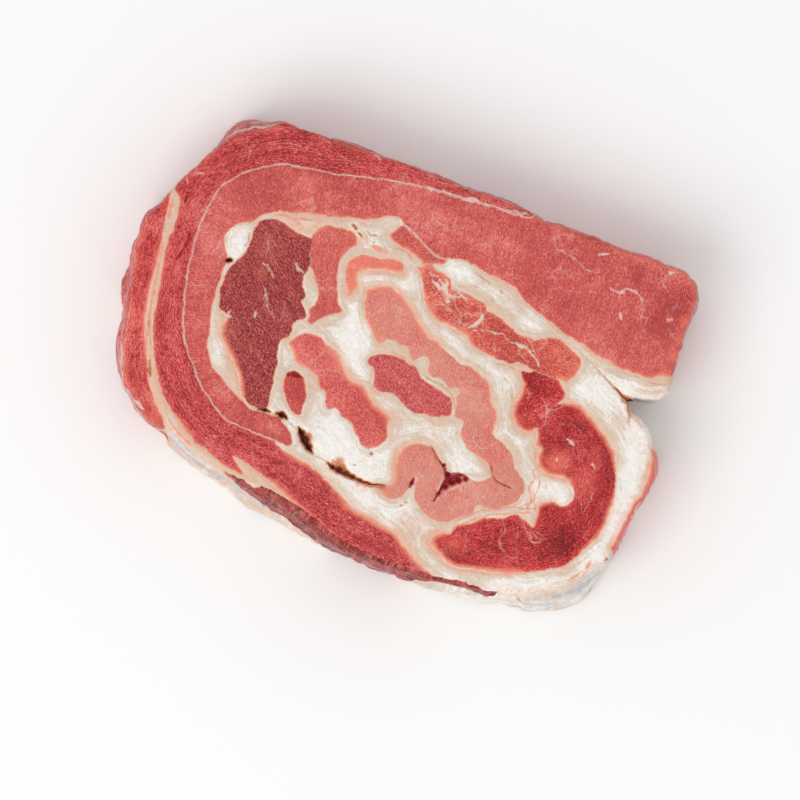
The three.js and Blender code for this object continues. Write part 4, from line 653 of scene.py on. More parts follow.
def noise(points, shift):
    """Smooth noise from -1 to 1 at rows of three numbers."""
    turned = points @ TURN.T
    cell = np.floor(turned).astype(int)
    part = turned - cell
    part = part**3 * (part * (part * 6 - 15) + 10)
    total = np.zeros(len(points))
    for corner in range(8):
        bit = np.array([corner & 1, corner >> 1 & 1, corner >> 2 & 1])
        weight = np.prod(np.where(bit, part, 1 - part), axis=1)
        at = (cell + bit + SHIFT_CELLS * shift) & LATTICE_MASK
        total += weight * LATTICE[at[:, 0], at[:, 1], at[:, 2]]
    return total


def waves(place, amount, length, seed):
    """Noise of the amount, with waves as long as the length."""
    return amount * noise(place / length, seed)


def flat(xy):
    """Points of the cut face as rows of three numbers."""
    return np.column_stack([xy, np.zeros(len(xy))])


def smooth_step(value, low, high):
    """Eased rise from 0 at low to 1 at high."""
    part = np.clip((value - low) / (high - low), 0, 1)
    return part * part * (3 - 2 * part)


def spline(points, closed, step):
    """Centripetal spline through the points, in about equal steps."""
    p = np.array(points, float)
    if closed:
        p = np.vstack([p[-1:], p, p[:2]])
    else:
        p = np.vstack([2 * p[:1] - p[1:2], p, 2 * p[-1:] - p[-2:-1]])
    gap = np.maximum(np.linalg.norm(np.diff(p, axis=0), axis=1), LEAST_GAP)[:, None] ** 0.5
    p0, p1, p2, p3 = p[:-3], p[1:-2], p[2:-1], p[3:]
    d0, d1, d2 = gap[:-2], gap[1:-1], gap[2:]
    start = ((p1 - p0) / d0 - (p2 - p0) / (d0 + d1) + (p2 - p1) / d1) * d1
    finish = ((p2 - p1) / d1 - (p3 - p1) / (d1 + d2) + (p3 - p2) / d2) * d1
    u = np.linspace(0, 1, SPAN_SAMPLES, endpoint=False)[None, :, None]
    a, b, s, e = p1[:, None], p2[:, None], start[:, None], finish[:, None]
    curve = a + s * u + (3 * (b - a) - 2 * s - e) * u**2 + (2 * (a - b) + s + e) * u**3
    curve = np.vstack([curve.reshape(-1, p.shape[1]), p[1:2] if closed else p[-2:-1]])
    run = np.linalg.norm(np.diff(curve[:, :2], axis=0), axis=1)
    run = np.concatenate([[0], np.cumsum(run)])
    count = max(2, math.ceil(run[-1] / step))
    at = np.linspace(0, run[-1], count + 1)
    out = np.column_stack([np.interp(at, run, curve[:, k]) for k in range(p.shape[1])])
    return out[:-1] if closed else out


def wander(xy):
    """Moves points of the cut face a little, so that no border is a clean curve."""
    place = flat(xy)
    moved = xy.copy()
    for length, amount, seed in WANDER:
        moved[:, 0] += waves(place, amount, length, seed)
        moved[:, 1] += waves(place, amount, length, seed + 1)
    return moved


def drift(xy, z):
    """How far the borders lie aside below the cut face."""
    place = np.column_stack([xy / DRIFT_LENGTH, z / DRIFT_LENGTH])
    amount = DRIFT * smooth_step(HEIGHT - DRIFT_START - z, 0, DRIFT_DEPTH)
    return amount[:, None] * np.column_stack([noise(place, 7), noise(place, 9)])


def turned_out(loop):
    """The loop, counterclockwise."""
    x, y = loop[:, 0], loop[:, 1]
    twice_area = np.sum(x * np.roll(y, -1) - y * np.roll(x, -1))
    return loop[::-1] if twice_area < 0 else loop


def outward(loop, spread):
    """Outward directions of a counterclockwise loop, evened out over some neighbours."""
    along = np.roll(loop, -1, axis=0) - np.roll(loop, 1, axis=0)
    normal = np.column_stack([along[:, 1], -along[:, 0]])
    normal /= np.linalg.norm(normal, axis=1)[:, None]
    for _ in range(spread):
        normal = (np.roll(normal, 1, axis=0) + 2 * normal + np.roll(normal, -1, axis=0)) / 4
    return normal / np.linalg.norm(normal, axis=1)[:, None]


def sideways(line):
    """Directions to the left of a line, at each of its points."""
    along = np.gradient(line[:, :2], axis=0)
    side = np.column_stack([-along[:, 1], along[:, 0]])
    return side / np.maximum(np.linalg.norm(side, axis=1), LEAST_LENGTH)[:, None]


def in_box(points, low, high):
    """Numbers of the points between two corners."""
    return np.nonzero(np.all((points >= low) & (points <= high), axis=1))[0]


def inside(points, loop):
    """Which points lie in the loop."""
    result = np.zeros(len(points), bool)
    near = in_box(points, loop.min(0), loop.max(0))
    a, b = loop, np.roll(loop, -1, axis=0)
    slope = (b[:, 0] - a[:, 0]) / np.where(b[:, 1] == a[:, 1], TINY, b[:, 1] - a[:, 1])
    for some in np.array_split(near, max(1, len(near) // BATCH)):
        x, y = points[some, 0][:, None], points[some, 1][:, None]
        crosses = ((a[:, 1] > y) != (b[:, 1] > y)) & (x < a[:, 0] + (y - a[:, 1]) * slope)
        result[some] = np.count_nonzero(crosses, axis=1) % 2 == 1
    return result


def tree_of(points):
    """Search tree of flat points."""
    tree = KDTree(len(points))
    for i, (x, y) in enumerate(points[:, :2].tolist()):
        tree.insert((x, y, 0.0), i)
    tree.balance()
    return tree


def nearest(tree, points):
    """Index of the nearest tree point, and how far it is, for each point."""
    found = [tree.find((x, y, 0.0)) for x, y in points[:, :2].tolist()]
    return np.array([f[1] for f in found]), np.array([f[2] for f in found])


def along_line(points, line):
    """How far the points are from a line, and how many of its steps come before them."""
    a = line[:-1]
    span = line[1:] - a
    square = np.maximum(np.sum(span**2, axis=1), TINY)
    distance = np.full(len(points), np.inf)
    passed = np.zeros(len(points))
    for i in range(len(a)):
        t = np.clip((points - a[i]) @ span[i] / square[i], 0, 1)
        away = np.linalg.norm(points - a[i] - t[:, None] * span[i], axis=1)
        passed = np.where(away < distance, i + t, passed)
        distance = np.minimum(distance, away)
    return distance, passed


def line_field(points, lines, soften, gaps=0.0, faint=1.0):
    """From 1 on the lines to 0 beside them. They waver, taper at their ends and may have gaps."""
    field = np.zeros(len(points))
    place = flat(points)
    for number, (half, *knots) in enumerate(lines):
        middle = spline(knots, False, LINE_STEP)
        reach = half + soften + LINE_MARGIN
        near = in_box(points, middle.min(0) - reach, middle.max(0) + reach)
        if not len(near):
            continue
        at = place[near]
        long, short = at / WAVER_LENGTHS[0], at / WAVER_LENGTHS[1]
        waver = np.column_stack([
            noise(long, number) + WAVER_SHARE * noise(short, number + 1),
            noise(long, number + 3) + WAVER_SHARE * noise(short, number + 4)])
        distance, passed = along_line(points[near] + WAVER * waver, middle)
        to_end = LINE_STEP * np.minimum(passed, len(middle) - 1 - passed)
        width = half * (END_WIDTH + TAPER_WIDTH * smooth_step(to_end, 0, TAPER_LENGTH))
        width *= 1 + waves(at, WIDTH_CHANGE, WIDTH_LENGTH, number + 6)
        low, high = width - SOFT_INSIDE * soften, width + SOFT_OUTSIDE * soften
        value = 1 - smooth_step(distance, low, high)
        value *= 1 - gaps * smooth_step(noise(at / GAP_LENGTH, number + 8), *GAP_RANGE)
        value *= min(1.0, faint + FAINT_GAIN * half)
        field[near] = np.maximum(field[near], value)
    return field


class Portion:
    """Shapes that every piece shares."""

    def __init__(self, sizes):
        self.face_step = sizes.face_step / MM
        self.wall_step = sizes.wall_step / MM
        self.texture = sizes.face_texture / MM
        self.lumps = sizes.wall_lumps / MM
        self.loops = {}
        for name in ORDER:
            outline = spline(PIECES[name][3], True, OUTLINE_STEP)
            self.loops[name] = turned_out(wander(outline))
        rim = spline(RIM, True, self.wall_step)
        self.rim = wander(rim[:, :2])
        self.flare = rim[:, 2]
        self.rim_out = outward(self.rim, RIM_SMOOTHING)
        self.lip = self.rim - self.rim_out * LIP_INSET
        self.rim_tree = tree_of(self.rim)
        self.lip_tree = tree_of(self.lip)
        self.find_borders()
        self.taken = None
        self.body = self.make_body()
        self.solids = {name: self.region_solid(name) for name in ORDER}

    def region_of(self, points):
        """Number of the muscle at each point of the cut face, or FAT."""
        region = np.full(len(points), FAT)
        for number in range(len(ORDER) - 1, 0, -1):
            region[inside(points, self.loops[ORDER[number]])] = number
        return region

    def find_borders(self):
        """Sorts the borders into those between lean and fat and those between two muscles."""
        fatty, seams = [], []
        for number, name in enumerate(ORDER[1:], 1):
            loop = self.loops[name]
            out = outward(loop, 0) * PROBE
            beyond = self.region_of(loop + out)
            mine = self.region_of(loop - out) == number
            fatty.append(between(loop, mine & (beyond == FAT)))
            seams.append(between(loop, mine & (beyond != FAT) & (beyond != number)))
        self.fatty_tree = tree_of(np.vstack(fatty))
        self.seam_tree = tree_of(np.vstack(seams))

    def relief(self, xy):
        """Height of the cut face before its fine texture."""
        x, y = (xy - CENTRE).T
        long = np.sin(x / LONG_WAVES[0] + LONG_PHASES[0])
        long *= np.cos(y / LONG_WAVES[1] - LONG_PHASES[1])
        short = np.sin(x / SHORT_WAVES[0] - y / SHORT_WAVES[1] + SHORT_PHASE) * SHORT_SHARE
        return HEIGHT - RELIEF * WAVES_TOP + RELIEF * (long + short)

    def face_height(self, xy):
        """Height of the cut face with its texture, borders, lip and openings."""
        place = flat(xy)
        _, border = nearest(self.fatty_tree, xy)
        _, lip = nearest(self.lip_tree, xy)
        height = self.relief(xy)
        groove = GROOVE * np.exp(-((border / GROOVE_WIDTH) ** 2))
        height += FAT_RISE * (1 - np.exp(-border / FAT_RISE_WIDTH)) - groove - FACE_DROP
        height += waves(place, *FACE_SWELL) * smooth_step(lip, *FACE_LIP_FADE)
        texture = waves(place, self.texture, *TEXTURE)
        height += texture + waves(place, FINE_TEXTURE_SHARE * self.texture, *FINE_TEXTURE)
        height += self.ridges(xy, border, lip)
        height -= DARK_LINE_DEPTH * line_field(xy, SHADED_CREASES, DARK_LINE_SOFTNESS)
        height -= BROWN_LINE_DEPTH * line_field(xy, BROWN_LINES, BROWN_LINE_SOFTNESS)
        for depth, away in self.openings(xy):
            height -= OPENING_SAG * depth * (1 - smooth_step(away, *OPENING_SAG_RANGE))
        for x, y, radius, strength in SHADED_HOLLOWS + RED_SHADED_HOLLOWS:
            square = ((xy - (x, y)) ** 2).sum(1)
            height -= GLOOM_DEPTH * strength * np.exp(-square / radius**2)
        height -= LIP_DROP * np.clip(1 - lip / LIP_WIDTH, 0, 1) ** 2
        return height

    def ridges(self, xy, border, lip):
        """Height of the ridges of the fat."""
        place = flat(xy)
        fatty = self.region_of(xy) == FAT
        fatty = fatty * smooth_step(border, *RIDGE_EDGE_FADE) * smooth_step(lip, *RIDGE_LIP_FADE)
        bend = place / RIDGE_BEND_LENGTH
        folded = place + RIDGE_BEND * flat(np.column_stack([noise(bend, 15), noise(bend, 16)]))
        large = RIDGE_LEVEL - np.abs(noise(folded / RIDGE_LENGTH, 17))
        small = RIDGE_LEVEL - np.abs(noise(folded / SMALL_RIDGE_LENGTH, 18))
        return fatty * FAT_RIDGES * large + SMALL_RIDGE_SHARE * fatty * FAT_RIDGES * small

    def openings(self, xy, lines=FAT_OPENINGS + LEAN_OPENINGS):
        """Depth of each opening, and how far the points are outside it."""
        for depth, *line in lines:
            knots = spline(line, False, OPENING_STEP)
            index, away = nearest(tree_of(knots), xy)
            yield depth, away - knots[index, 2]

    def make_body(self):
        """The whole portion as one closed mesh."""
        count = len(self.lip)
        top, faces = self.face_points()
        rings = self.wall_rings(top[:count, 2])
        foot = rings[-1][:, :2]
        bottom, bottom_faces = fill_loop(foot, hexagonal(foot, FOOT_STEP, FOOT_MARGIN, 1))
        body = [top]
        total = len(top)
        previous = np.arange(count)
        step_to = np.roll(np.arange(count), -1)
        triangles = [faces]
        for ring in rings:
            current = total + np.arange(count)
            body.append(ring)
            total += count
            a, b, c, d = previous, previous[step_to], current, current[step_to]
            triangles.append(np.column_stack([a, c, d]))
            triangles.append(np.column_stack([a, d, b]))
            previous = current
        body.append(flat(bottom[count:]))
        number = np.arange(len(bottom))
        lift = np.where(number < count, previous[0] + number, total + number - count)
        triangles.append(lift[bottom_faces][:, ::-1])
        mesh = make_mesh("whole portion", np.vstack(body), np.vstack(triangles))
        solid = bpy.data.objects.new("whole portion", mesh)
        for depth, *line in FAT_OPENINGS + LEAN_OPENINGS:
            solid = cut(solid, "DIFFERENCE", join_rings("opening", pocket(line, depth)))
        return solid

    def face_points(self):
        """Points and triangles of the cut face. The lip's points come first."""
        extra = []
        for half, *knots in WHITE_LINES + BROWN_LINES + SHADED_CREASES + ORANGE_LINES:
            middle = spline(knots, False, MARK_STEP)
            side = sideways(middle)
            for out in (0, half + MARK_SIDE, -half - MARK_SIDE):
                extra.append(middle + side * out)
        extra = np.vstack(extra)
        extra = extra[inside(extra, self.lip)]
        grid = hexagonal(self.lip, self.face_step, GRID_MARGIN * self.face_step, 2)
        _, away = nearest(tree_of(extra), grid)
        grid = np.vstack([grid[away > MARK_GAP], thinned(extra, MARK_SPACING)])
        _, away = nearest(self.lip_tree, grid)
        points, faces = fill_loop(self.lip, grid[away > LIP_GAP])
        return np.column_stack([points, self.face_height(points)]), faces

    def wall_rings(self, lip_z):
        """Rings of the wall from below the lip to the foot."""
        end = WALL_NOMINAL - NEAR_FOOT[0] - MIDDLE_END
        middle = np.arange(MIDDLE_START, end, self.wall_step)
        rings = []
        for depth in np.concatenate([NEAR_LIP, middle, WALL_NOMINAL - NEAR_FOOT]):
            z = lip_z * (1 - depth / WALL_NOMINAL)
            rings.append(self.wall_ring(z, lip_z - z))
        return rings

    def wall_ring(self, z, depth):
        """One ring: flare, bulge, lumps, round lip and foot, then strands and folded tissue."""
        x, y = (self.rim - CENTRE).T
        rise = np.clip(z / HEIGHT, 0, 1)
        out = self.flare * (1 - rise**FLARE_POWER) + BULGE * np.sin(math.pi * rise)
        lump = np.sin((x - LUMP_SKEW * y) / LUMP_LENGTH + z / LUMP_RISES[0])
        lump *= np.cos(y / LUMP_LENGTH - z / LUMP_RISES[1])
        out += LUMP * lump * np.sin(math.pi * rise)
        out -= LIP_INSET * np.clip(1 - depth / LIP_DEPTH, 0, 1) ** 2
        out -= FOOT_ROUND * np.clip(1 - z / FOOT_Z, 0, 1) ** 2
        place = np.column_stack([self.rim + out[:, None] * self.rim_out, z])
        fade = smooth_step(depth, *WALL_LIP_FADE) * smooth_step(z, *WALL_FOOT_FADE)
        layers = (z + waves(place, *STRAND_WAVES)) / STRAND_HEIGHT
        strands = np.column_stack([place[:, :2] / STRAND_LENGTH, layers])
        rough = waves(place, *WALL_SWELL) + waves(place, *WALL_BUMPS)
        strand = STRAND_DEPTH * (1 - 2 * np.abs(noise(strands, 8)))
        rough += strand + waves(place, *WALL_GRAIN)
        out += fade * (self.lumps * rough - WALL_INSET)
        plan = self.rim + out[:, None] * self.rim_out
        for half, height, *knots in WALL_FOLDS:
            _, away = nearest(tree_of(spline(knots, False, FOLD_STEP)), plan)
            out += height * fade * np.exp(-((away / half) ** 2))
        return np.column_stack([self.rim + out[:, None] * self.rim_out, z])

    def region_solid(self, name):
        """What the muscle takes of all space, beside those that came before it."""
        own = prism(name, self.loops[name])
        if name == "side_lean":
            own = cut(own, "INTERSECT", side_band(SIDE_LEAN_RISE))
        solid = own if self.taken is None else cut(own, "DIFFERENCE", self.taken, keep=True)
        self.taken = own if self.taken is None else cut(self.taken, "UNION", own, keep=True)
        return solid

    def muscle(self, name):
        """Mesh of one muscle, cut out of the whole portion."""
        return cut(self.body, "INTERSECT", self.solids[name], keep=True).data

    def fat(self):
        """Meshes of the two runs of fat, the larger one first."""
        rest = cut(self.body, "DIFFERENCE", self.taken, keep=True).data
        return loose_parts(rest)[:2]


def between(loop, chosen):
    """The chosen points of a loop, and points on the way from each to the next."""
    step = np.roll(loop, -1, axis=0) - loop
    return np.vstack([(loop + share * step)[chosen] for share in (0, 0.25, 0.5, 0.75)])


def hexagonal(loop, step, margin, seed):
    """Points of a slightly uneven triangular grid inside a loop."""
    low, high = loop.min(0), loop.max(0)
    columns = int((high[0] - low[0]) / step) + 2
    rows = int((high[1] - low[1]) / (step * ROW_SHARE)) + 2
    j, i = np.meshgrid(np.arange(rows), np.arange(columns), indexing="ij")
    x = low[0] + (i + 0.5 * (j % 2)) * step
    y = low[1] + j * step * ROW_SHARE
    grid = np.column_stack([x.ravel(), y.ravel()])
    jitter = np.random.default_rng(SEED + seed).uniform(-GRID_JITTER, GRID_JITTER, grid.shape)
    grid += jitter * step
    grid = grid[inside(grid, loop)]
    _, away = nearest(tree_of(loop), grid)
    return grid[away > margin]


def thinned(points, spacing):
    """At most one point in each small cell."""
    _, first = np.unique(np.floor(points / spacing).astype(int), axis=0, return_index=True)
    return points[np.sort(first)]


def fill_loop(loop, inner):
    """Triangles over a loop and the points in it. The loop's points keep their numbers."""
    count = len(loop)
    points = np.vstack([loop, inner])
    ring = [(i, (i + 1) % count) for i in range(count)]
    made = delaunay_2d_cdt([Vector(p) for p in points.tolist()], ring, [], 1, LEAST_LENGTH)
    corners, faces, sources = made[0], made[2], made[3]
    number = np.array([s[0] if s else -1 for s in sources])
    if np.any(number < 0) or len(corners) != len(points):
        raise RuntimeError("the loop crosses itself, or two of its points are one")
    faces = number[np.array([tuple(f) for f in faces])]
    a, b, c = points[faces[:, 0]], points[faces[:, 1]], points[faces[:, 2]]
    area = (b[:, 0] - a[:, 0]) * (c[:, 1] - a[:, 1]) - (b[:, 1] - a[:, 1]) * (c[:, 0] - a[:, 0])
    faces[area < 0] = faces[area < 0][:, ::-1]
    return points, faces


def read(items, key, width=1, kind=np.float32):
    """One value, or a row of them, for each of a mesh's vertices, edges, corners or faces."""
    values = np.empty(width * len(items), kind)
    items.foreach_get(key, values)
    return values.reshape(-1, width) if width > 1 else values


def make_mesh(name, points, corners, totals=3):
    """Mesh of faces given by their corners in a row. The totals say how many each face has."""
    corners = np.asarray(corners, np.int32).ravel()
    if isinstance(totals, int):
        totals = np.full(len(corners) // totals, totals)
    mesh = bpy.data.meshes.new(name)
    mesh.vertices.add(len(points))
    mesh.vertices.foreach_set("co", np.asarray(points, np.float32).ravel())
    mesh.loops.add(len(corners))
    mesh.loops.foreach_set("vertex_index", corners)
    mesh.polygons.add(len(totals))
    starts = np.concatenate([[0], np.cumsum(totals)[:-1]])
    mesh.polygons.foreach_set("loop_start", starts.astype(np.int32))
    mesh.update(calc_edges=True)
    return mesh


def join_rings(name, rings):
    """Closed loft over a list of rings with equal counts."""
    count = len(rings[0])
    last = (len(rings) - 1) * count
    faces = [tuple(range(count - 1, -1, -1)), tuple(range(last, last + count))]
    for start in range(0, last, count):
        for i in range(count):
            a, b = start + i, start + (i + 1) % count
            faces.append((a, b, b + count, a + count))
    mesh = bpy.data.meshes.new(name)
    mesh.from_pydata(np.vstack(rings).tolist(), [], faces)
    return bpy.data.objects.new(name, mesh)


def prism(name, loop):
    """The muscle's outline through the whole height, with borders that drift a little."""
    rings = []
    for z in LEVELS:
        level = np.full(len(loop), float(z))
        rings.append(np.column_stack([loop + drift(loop, level), level]))
    return join_rings(name, rings)


def side_band(shape):
    """Extrusion along Y of the shape that the side lean has on the wall."""
    loop = turned_out(spline(shape, True, BAND_STEP))
    place = flat(loop) / BAND_WAVER_LENGTH
    loop = loop + BAND_WAVER * np.column_stack([noise(place, 3), noise(place, 4)])
    near = np.column_stack([loop[:, 0], np.full(len(loop), BAND_REACH), loop[:, 1]])
    return join_rings("side band", [near, near - [0, 2 * BAND_REACH, 0]])


def pocket(line, depth):
    """Rings of an opening that narrows towards its bottom."""
    middle = spline(line, False, POCKET_STEP)
    side = sideways(middle)
    rings = []
    for share, narrow in POCKET_PROFILE:
        half = np.maximum(middle[:, 2], OPENING_WIDTH_LEAST)[:, None] * narrow
        left, right = middle[:, :2] + side * half, middle[:, :2] - side * half
        loop = wander(np.vstack([right, left[::-1]]))
        z = HEIGHT - depth * share
        rings.append(np.column_stack([loop, np.full(len(loop), z)]))
    return rings


def cut(solid, operation, tool, keep=False):
    """New object: the first solid joined with, cut by or kept inside the second."""
    collection = bpy.context.scene.collection
    for part in (solid, tool):
        collection.objects.link(part)
    modifier = solid.modifiers.new("cut", "BOOLEAN")
    modifier.solver = "MANIFOLD"
    modifier.operation = operation
    modifier.object = tool
    bpy.context.view_layer.update()
    graph = bpy.context.evaluated_depsgraph_get()
    mesh = bpy.data.meshes.new_from_object(solid.evaluated_get(graph), depsgraph=graph)
    solid.modifiers.remove(modifier)
    for part in (solid, tool):
        collection.objects.unlink(part)
    if not len(mesh.polygons):
        raise RuntimeError(f"{solid.name} and {tool.name} leave nothing")
    if not keep:
        for part in (solid, tool):
            bpy.data.meshes.remove(part.data)
    return bpy.data.objects.new(mesh.name, mesh)


def loose_parts(mesh):
    """The separate bodies of a mesh as meshes, the largest first."""
    a, b = read(mesh.edges, "vertices", 2, np.int32).T
    label = np.arange(len(mesh.vertices))
    while True:
        low = np.minimum(label[a], label[b])
        fresh = label.copy()
        np.minimum.at(fresh, a, low)
        np.minimum.at(fresh, b, low)
        fresh = fresh[fresh]
        if np.array_equal(fresh, label):
            break
        label = fresh
    points = read(mesh.vertices, "co", 3)
    corners = read(mesh.loops, "vertex_index", kind=np.int32)
    sizes = read(mesh.polygons, "loop_total", kind=np.int32)
    owner = np.repeat(np.arange(len(sizes)), sizes)
    group = label[corners]
    names, amounts = np.unique(group, return_counts=True)
    parts = []
    for name in names[np.argsort(-amounts)]:
        mine = group == name
        used, compact = np.unique(corners[mine], return_inverse=True)
        totals = np.bincount(owner[mine], minlength=len(sizes))
        parts.append(make_mesh("fat", points[used], compact, totals[totals > 0]))
    return parts


# Where the marks of the cut face show: ranges of depth, and of distance beyond the rim.
FACE_RANGE = (1.5, 4.5)
RIM_RANGE = (1.6, 2.6)
WALL_RANGE = (10, 24)
WALL_RANGE_WAVES = (9, 7, 3)
GLOOM_RANGE = (3, 7)
FILM_RANGE = (0.15, 1.5)
# A face belongs to the cut face if its normal points up and it lies near the top.
FACE_UP = 0.6
FACE_DEPTH = 6
# Distance from the fat up to which the finishes know it.
EDGE_RANGE = 8.0

# Line marks: softness, gaps and strength of the thinnest lines.
WHITE_MARKS = (0.5, 0.35, 0.14)
LILAC_MARKS = (0.9, 0.3, -0.1)
BROWN_MARKS = (0.5, 0.25, 0.25)
ORANGE_MARKS = (0.6, 0.3)
CREASE_SHADE_MARKS = (0.4, 0.5)
GLOW_MARKS = (8.0, 0.2, -0.15)
# Strength of the painted shade along the creases and slits.
CREASE_SHADE_SHARE = 0.8
PALE_FOLD_SHARE = 0.4
GLOW_GAIN = 1.3
GLOW_LEAST = 0.5
SPECK = 2.6
SPECK_BEND = 0.5

# Thread of fat between two muscles: width and strength, for the wraps and for the others.
WRAP_THREAD = (0.16, 0.6)
OTHER_THREAD = (0.05, 0.4)
THREAD_SOFTNESS = 0.6
THREAD_WIDTH_CHANGE = 0.12
THREAD_STRENGTH = 1.05
THREAD_STRENGTH_CHANGE = 0.25

# Open folds: strength of their brown or red rim and painted shade at the face, and the painted
# shade's gain towards the bottom.
FOLD_STRENGTH = 0.55
FOLD_SHADE_GAIN = 0.5
FOLD_EDGE = (0.1, 0.7)

# Lightness around 0.5 and warmth, where whole pieces or their borders differ.
SPOT_SHARE = 0.5
INNER_SEAM_SHADE = (0.14, 3)
INNER_EDGE_SHADE = (0.1, 2)
DRIED_WIDTH = 1.2
DRIED_LENGTH = 5
DRIED_RANGE = (-0.25, 0.35)
DRIED_WARMTH = 0.75
SEAM_FAT_SHADE = 0.1
SEAM_FAT_WARMTH = 0.32
SMALL_PIECE_SHADE = 0.16
SIDE_WARMTH = 0.25
RIGHT_EDGE_RANGE = (2, 14)
RIGHT_EDGE_FADE = 0.9
RIGHT_EDGE_LIGHT = 0.2
RIGHT_EDGE_WARMTH = 0.5

# Grain of the wall: how it wavers (amount, length, seed), and its own slice of the noise.
WALL_GRAIN_WAVES = ((2, 17, 5), (0.5, 5, 9))
WALL_GRAIN_SLICE = 7.0


def grain_place(portion, node, xy, edge):
    """Grain coordinates on the cut face: one runs slowly along the strands, one across them."""
    x, y = xy.T
    angle = PIECES[node][2]
    if node in FATS:
        return np.column_stack([x / GRAIN_STRETCH, y / GRAIN_STRETCH, edge])
    if angle is not None:
        turn = math.radians(angle)
        along = x * math.cos(turn) + y * math.sin(turn)
        across = y * math.cos(turn) - x * math.sin(turn)
        return flat(np.column_stack([along / GRAIN_STRETCH, across]))
    if node in EDGE_STRIPS:
        guide = portion.rim
    else:
        knots = CURVE_GUIDE if node == "right_curve_lean" else SEAM_GUIDE
        guide = spline(knots, False, OUTLINE_STEP)
    index, _ = nearest(tree_of(guide), xy)
    direction = np.gradient(guide, axis=0)
    step = np.linalg.norm(direction, axis=1)
    direction = (direction / step[:, None])[index]
    away = xy - guide[index]
    run = np.concatenate([[0], np.cumsum(step[1:])])
    along = run[index] + np.sum(away * direction, axis=1)
    across = away[:, 0] * direction[:, 1] - away[:, 1] * direction[:, 0]
    if node == "inner_wrap_lean":
        along, across = across, along
    return flat(np.column_stack([along / GRAIN_STRETCH, across]))


def face_points_of(mesh):
    """Which points belong to the cut face."""
    steep = read(mesh.polygons, "normal", 3)[:, 2]
    height = read(mesh.polygons, "center", 3)[:, 2]
    corners = read(mesh.loops, "vertex_index", kind=np.int32)
    totals = read(mesh.polygons, "loop_total", kind=np.int32)
    up = (steep > FACE_UP) & (height > HEIGHT - FACE_DEPTH)
    result = np.zeros(len(mesh.vertices), bool)
    result[corners[np.repeat(up, totals)]] = True
    return result


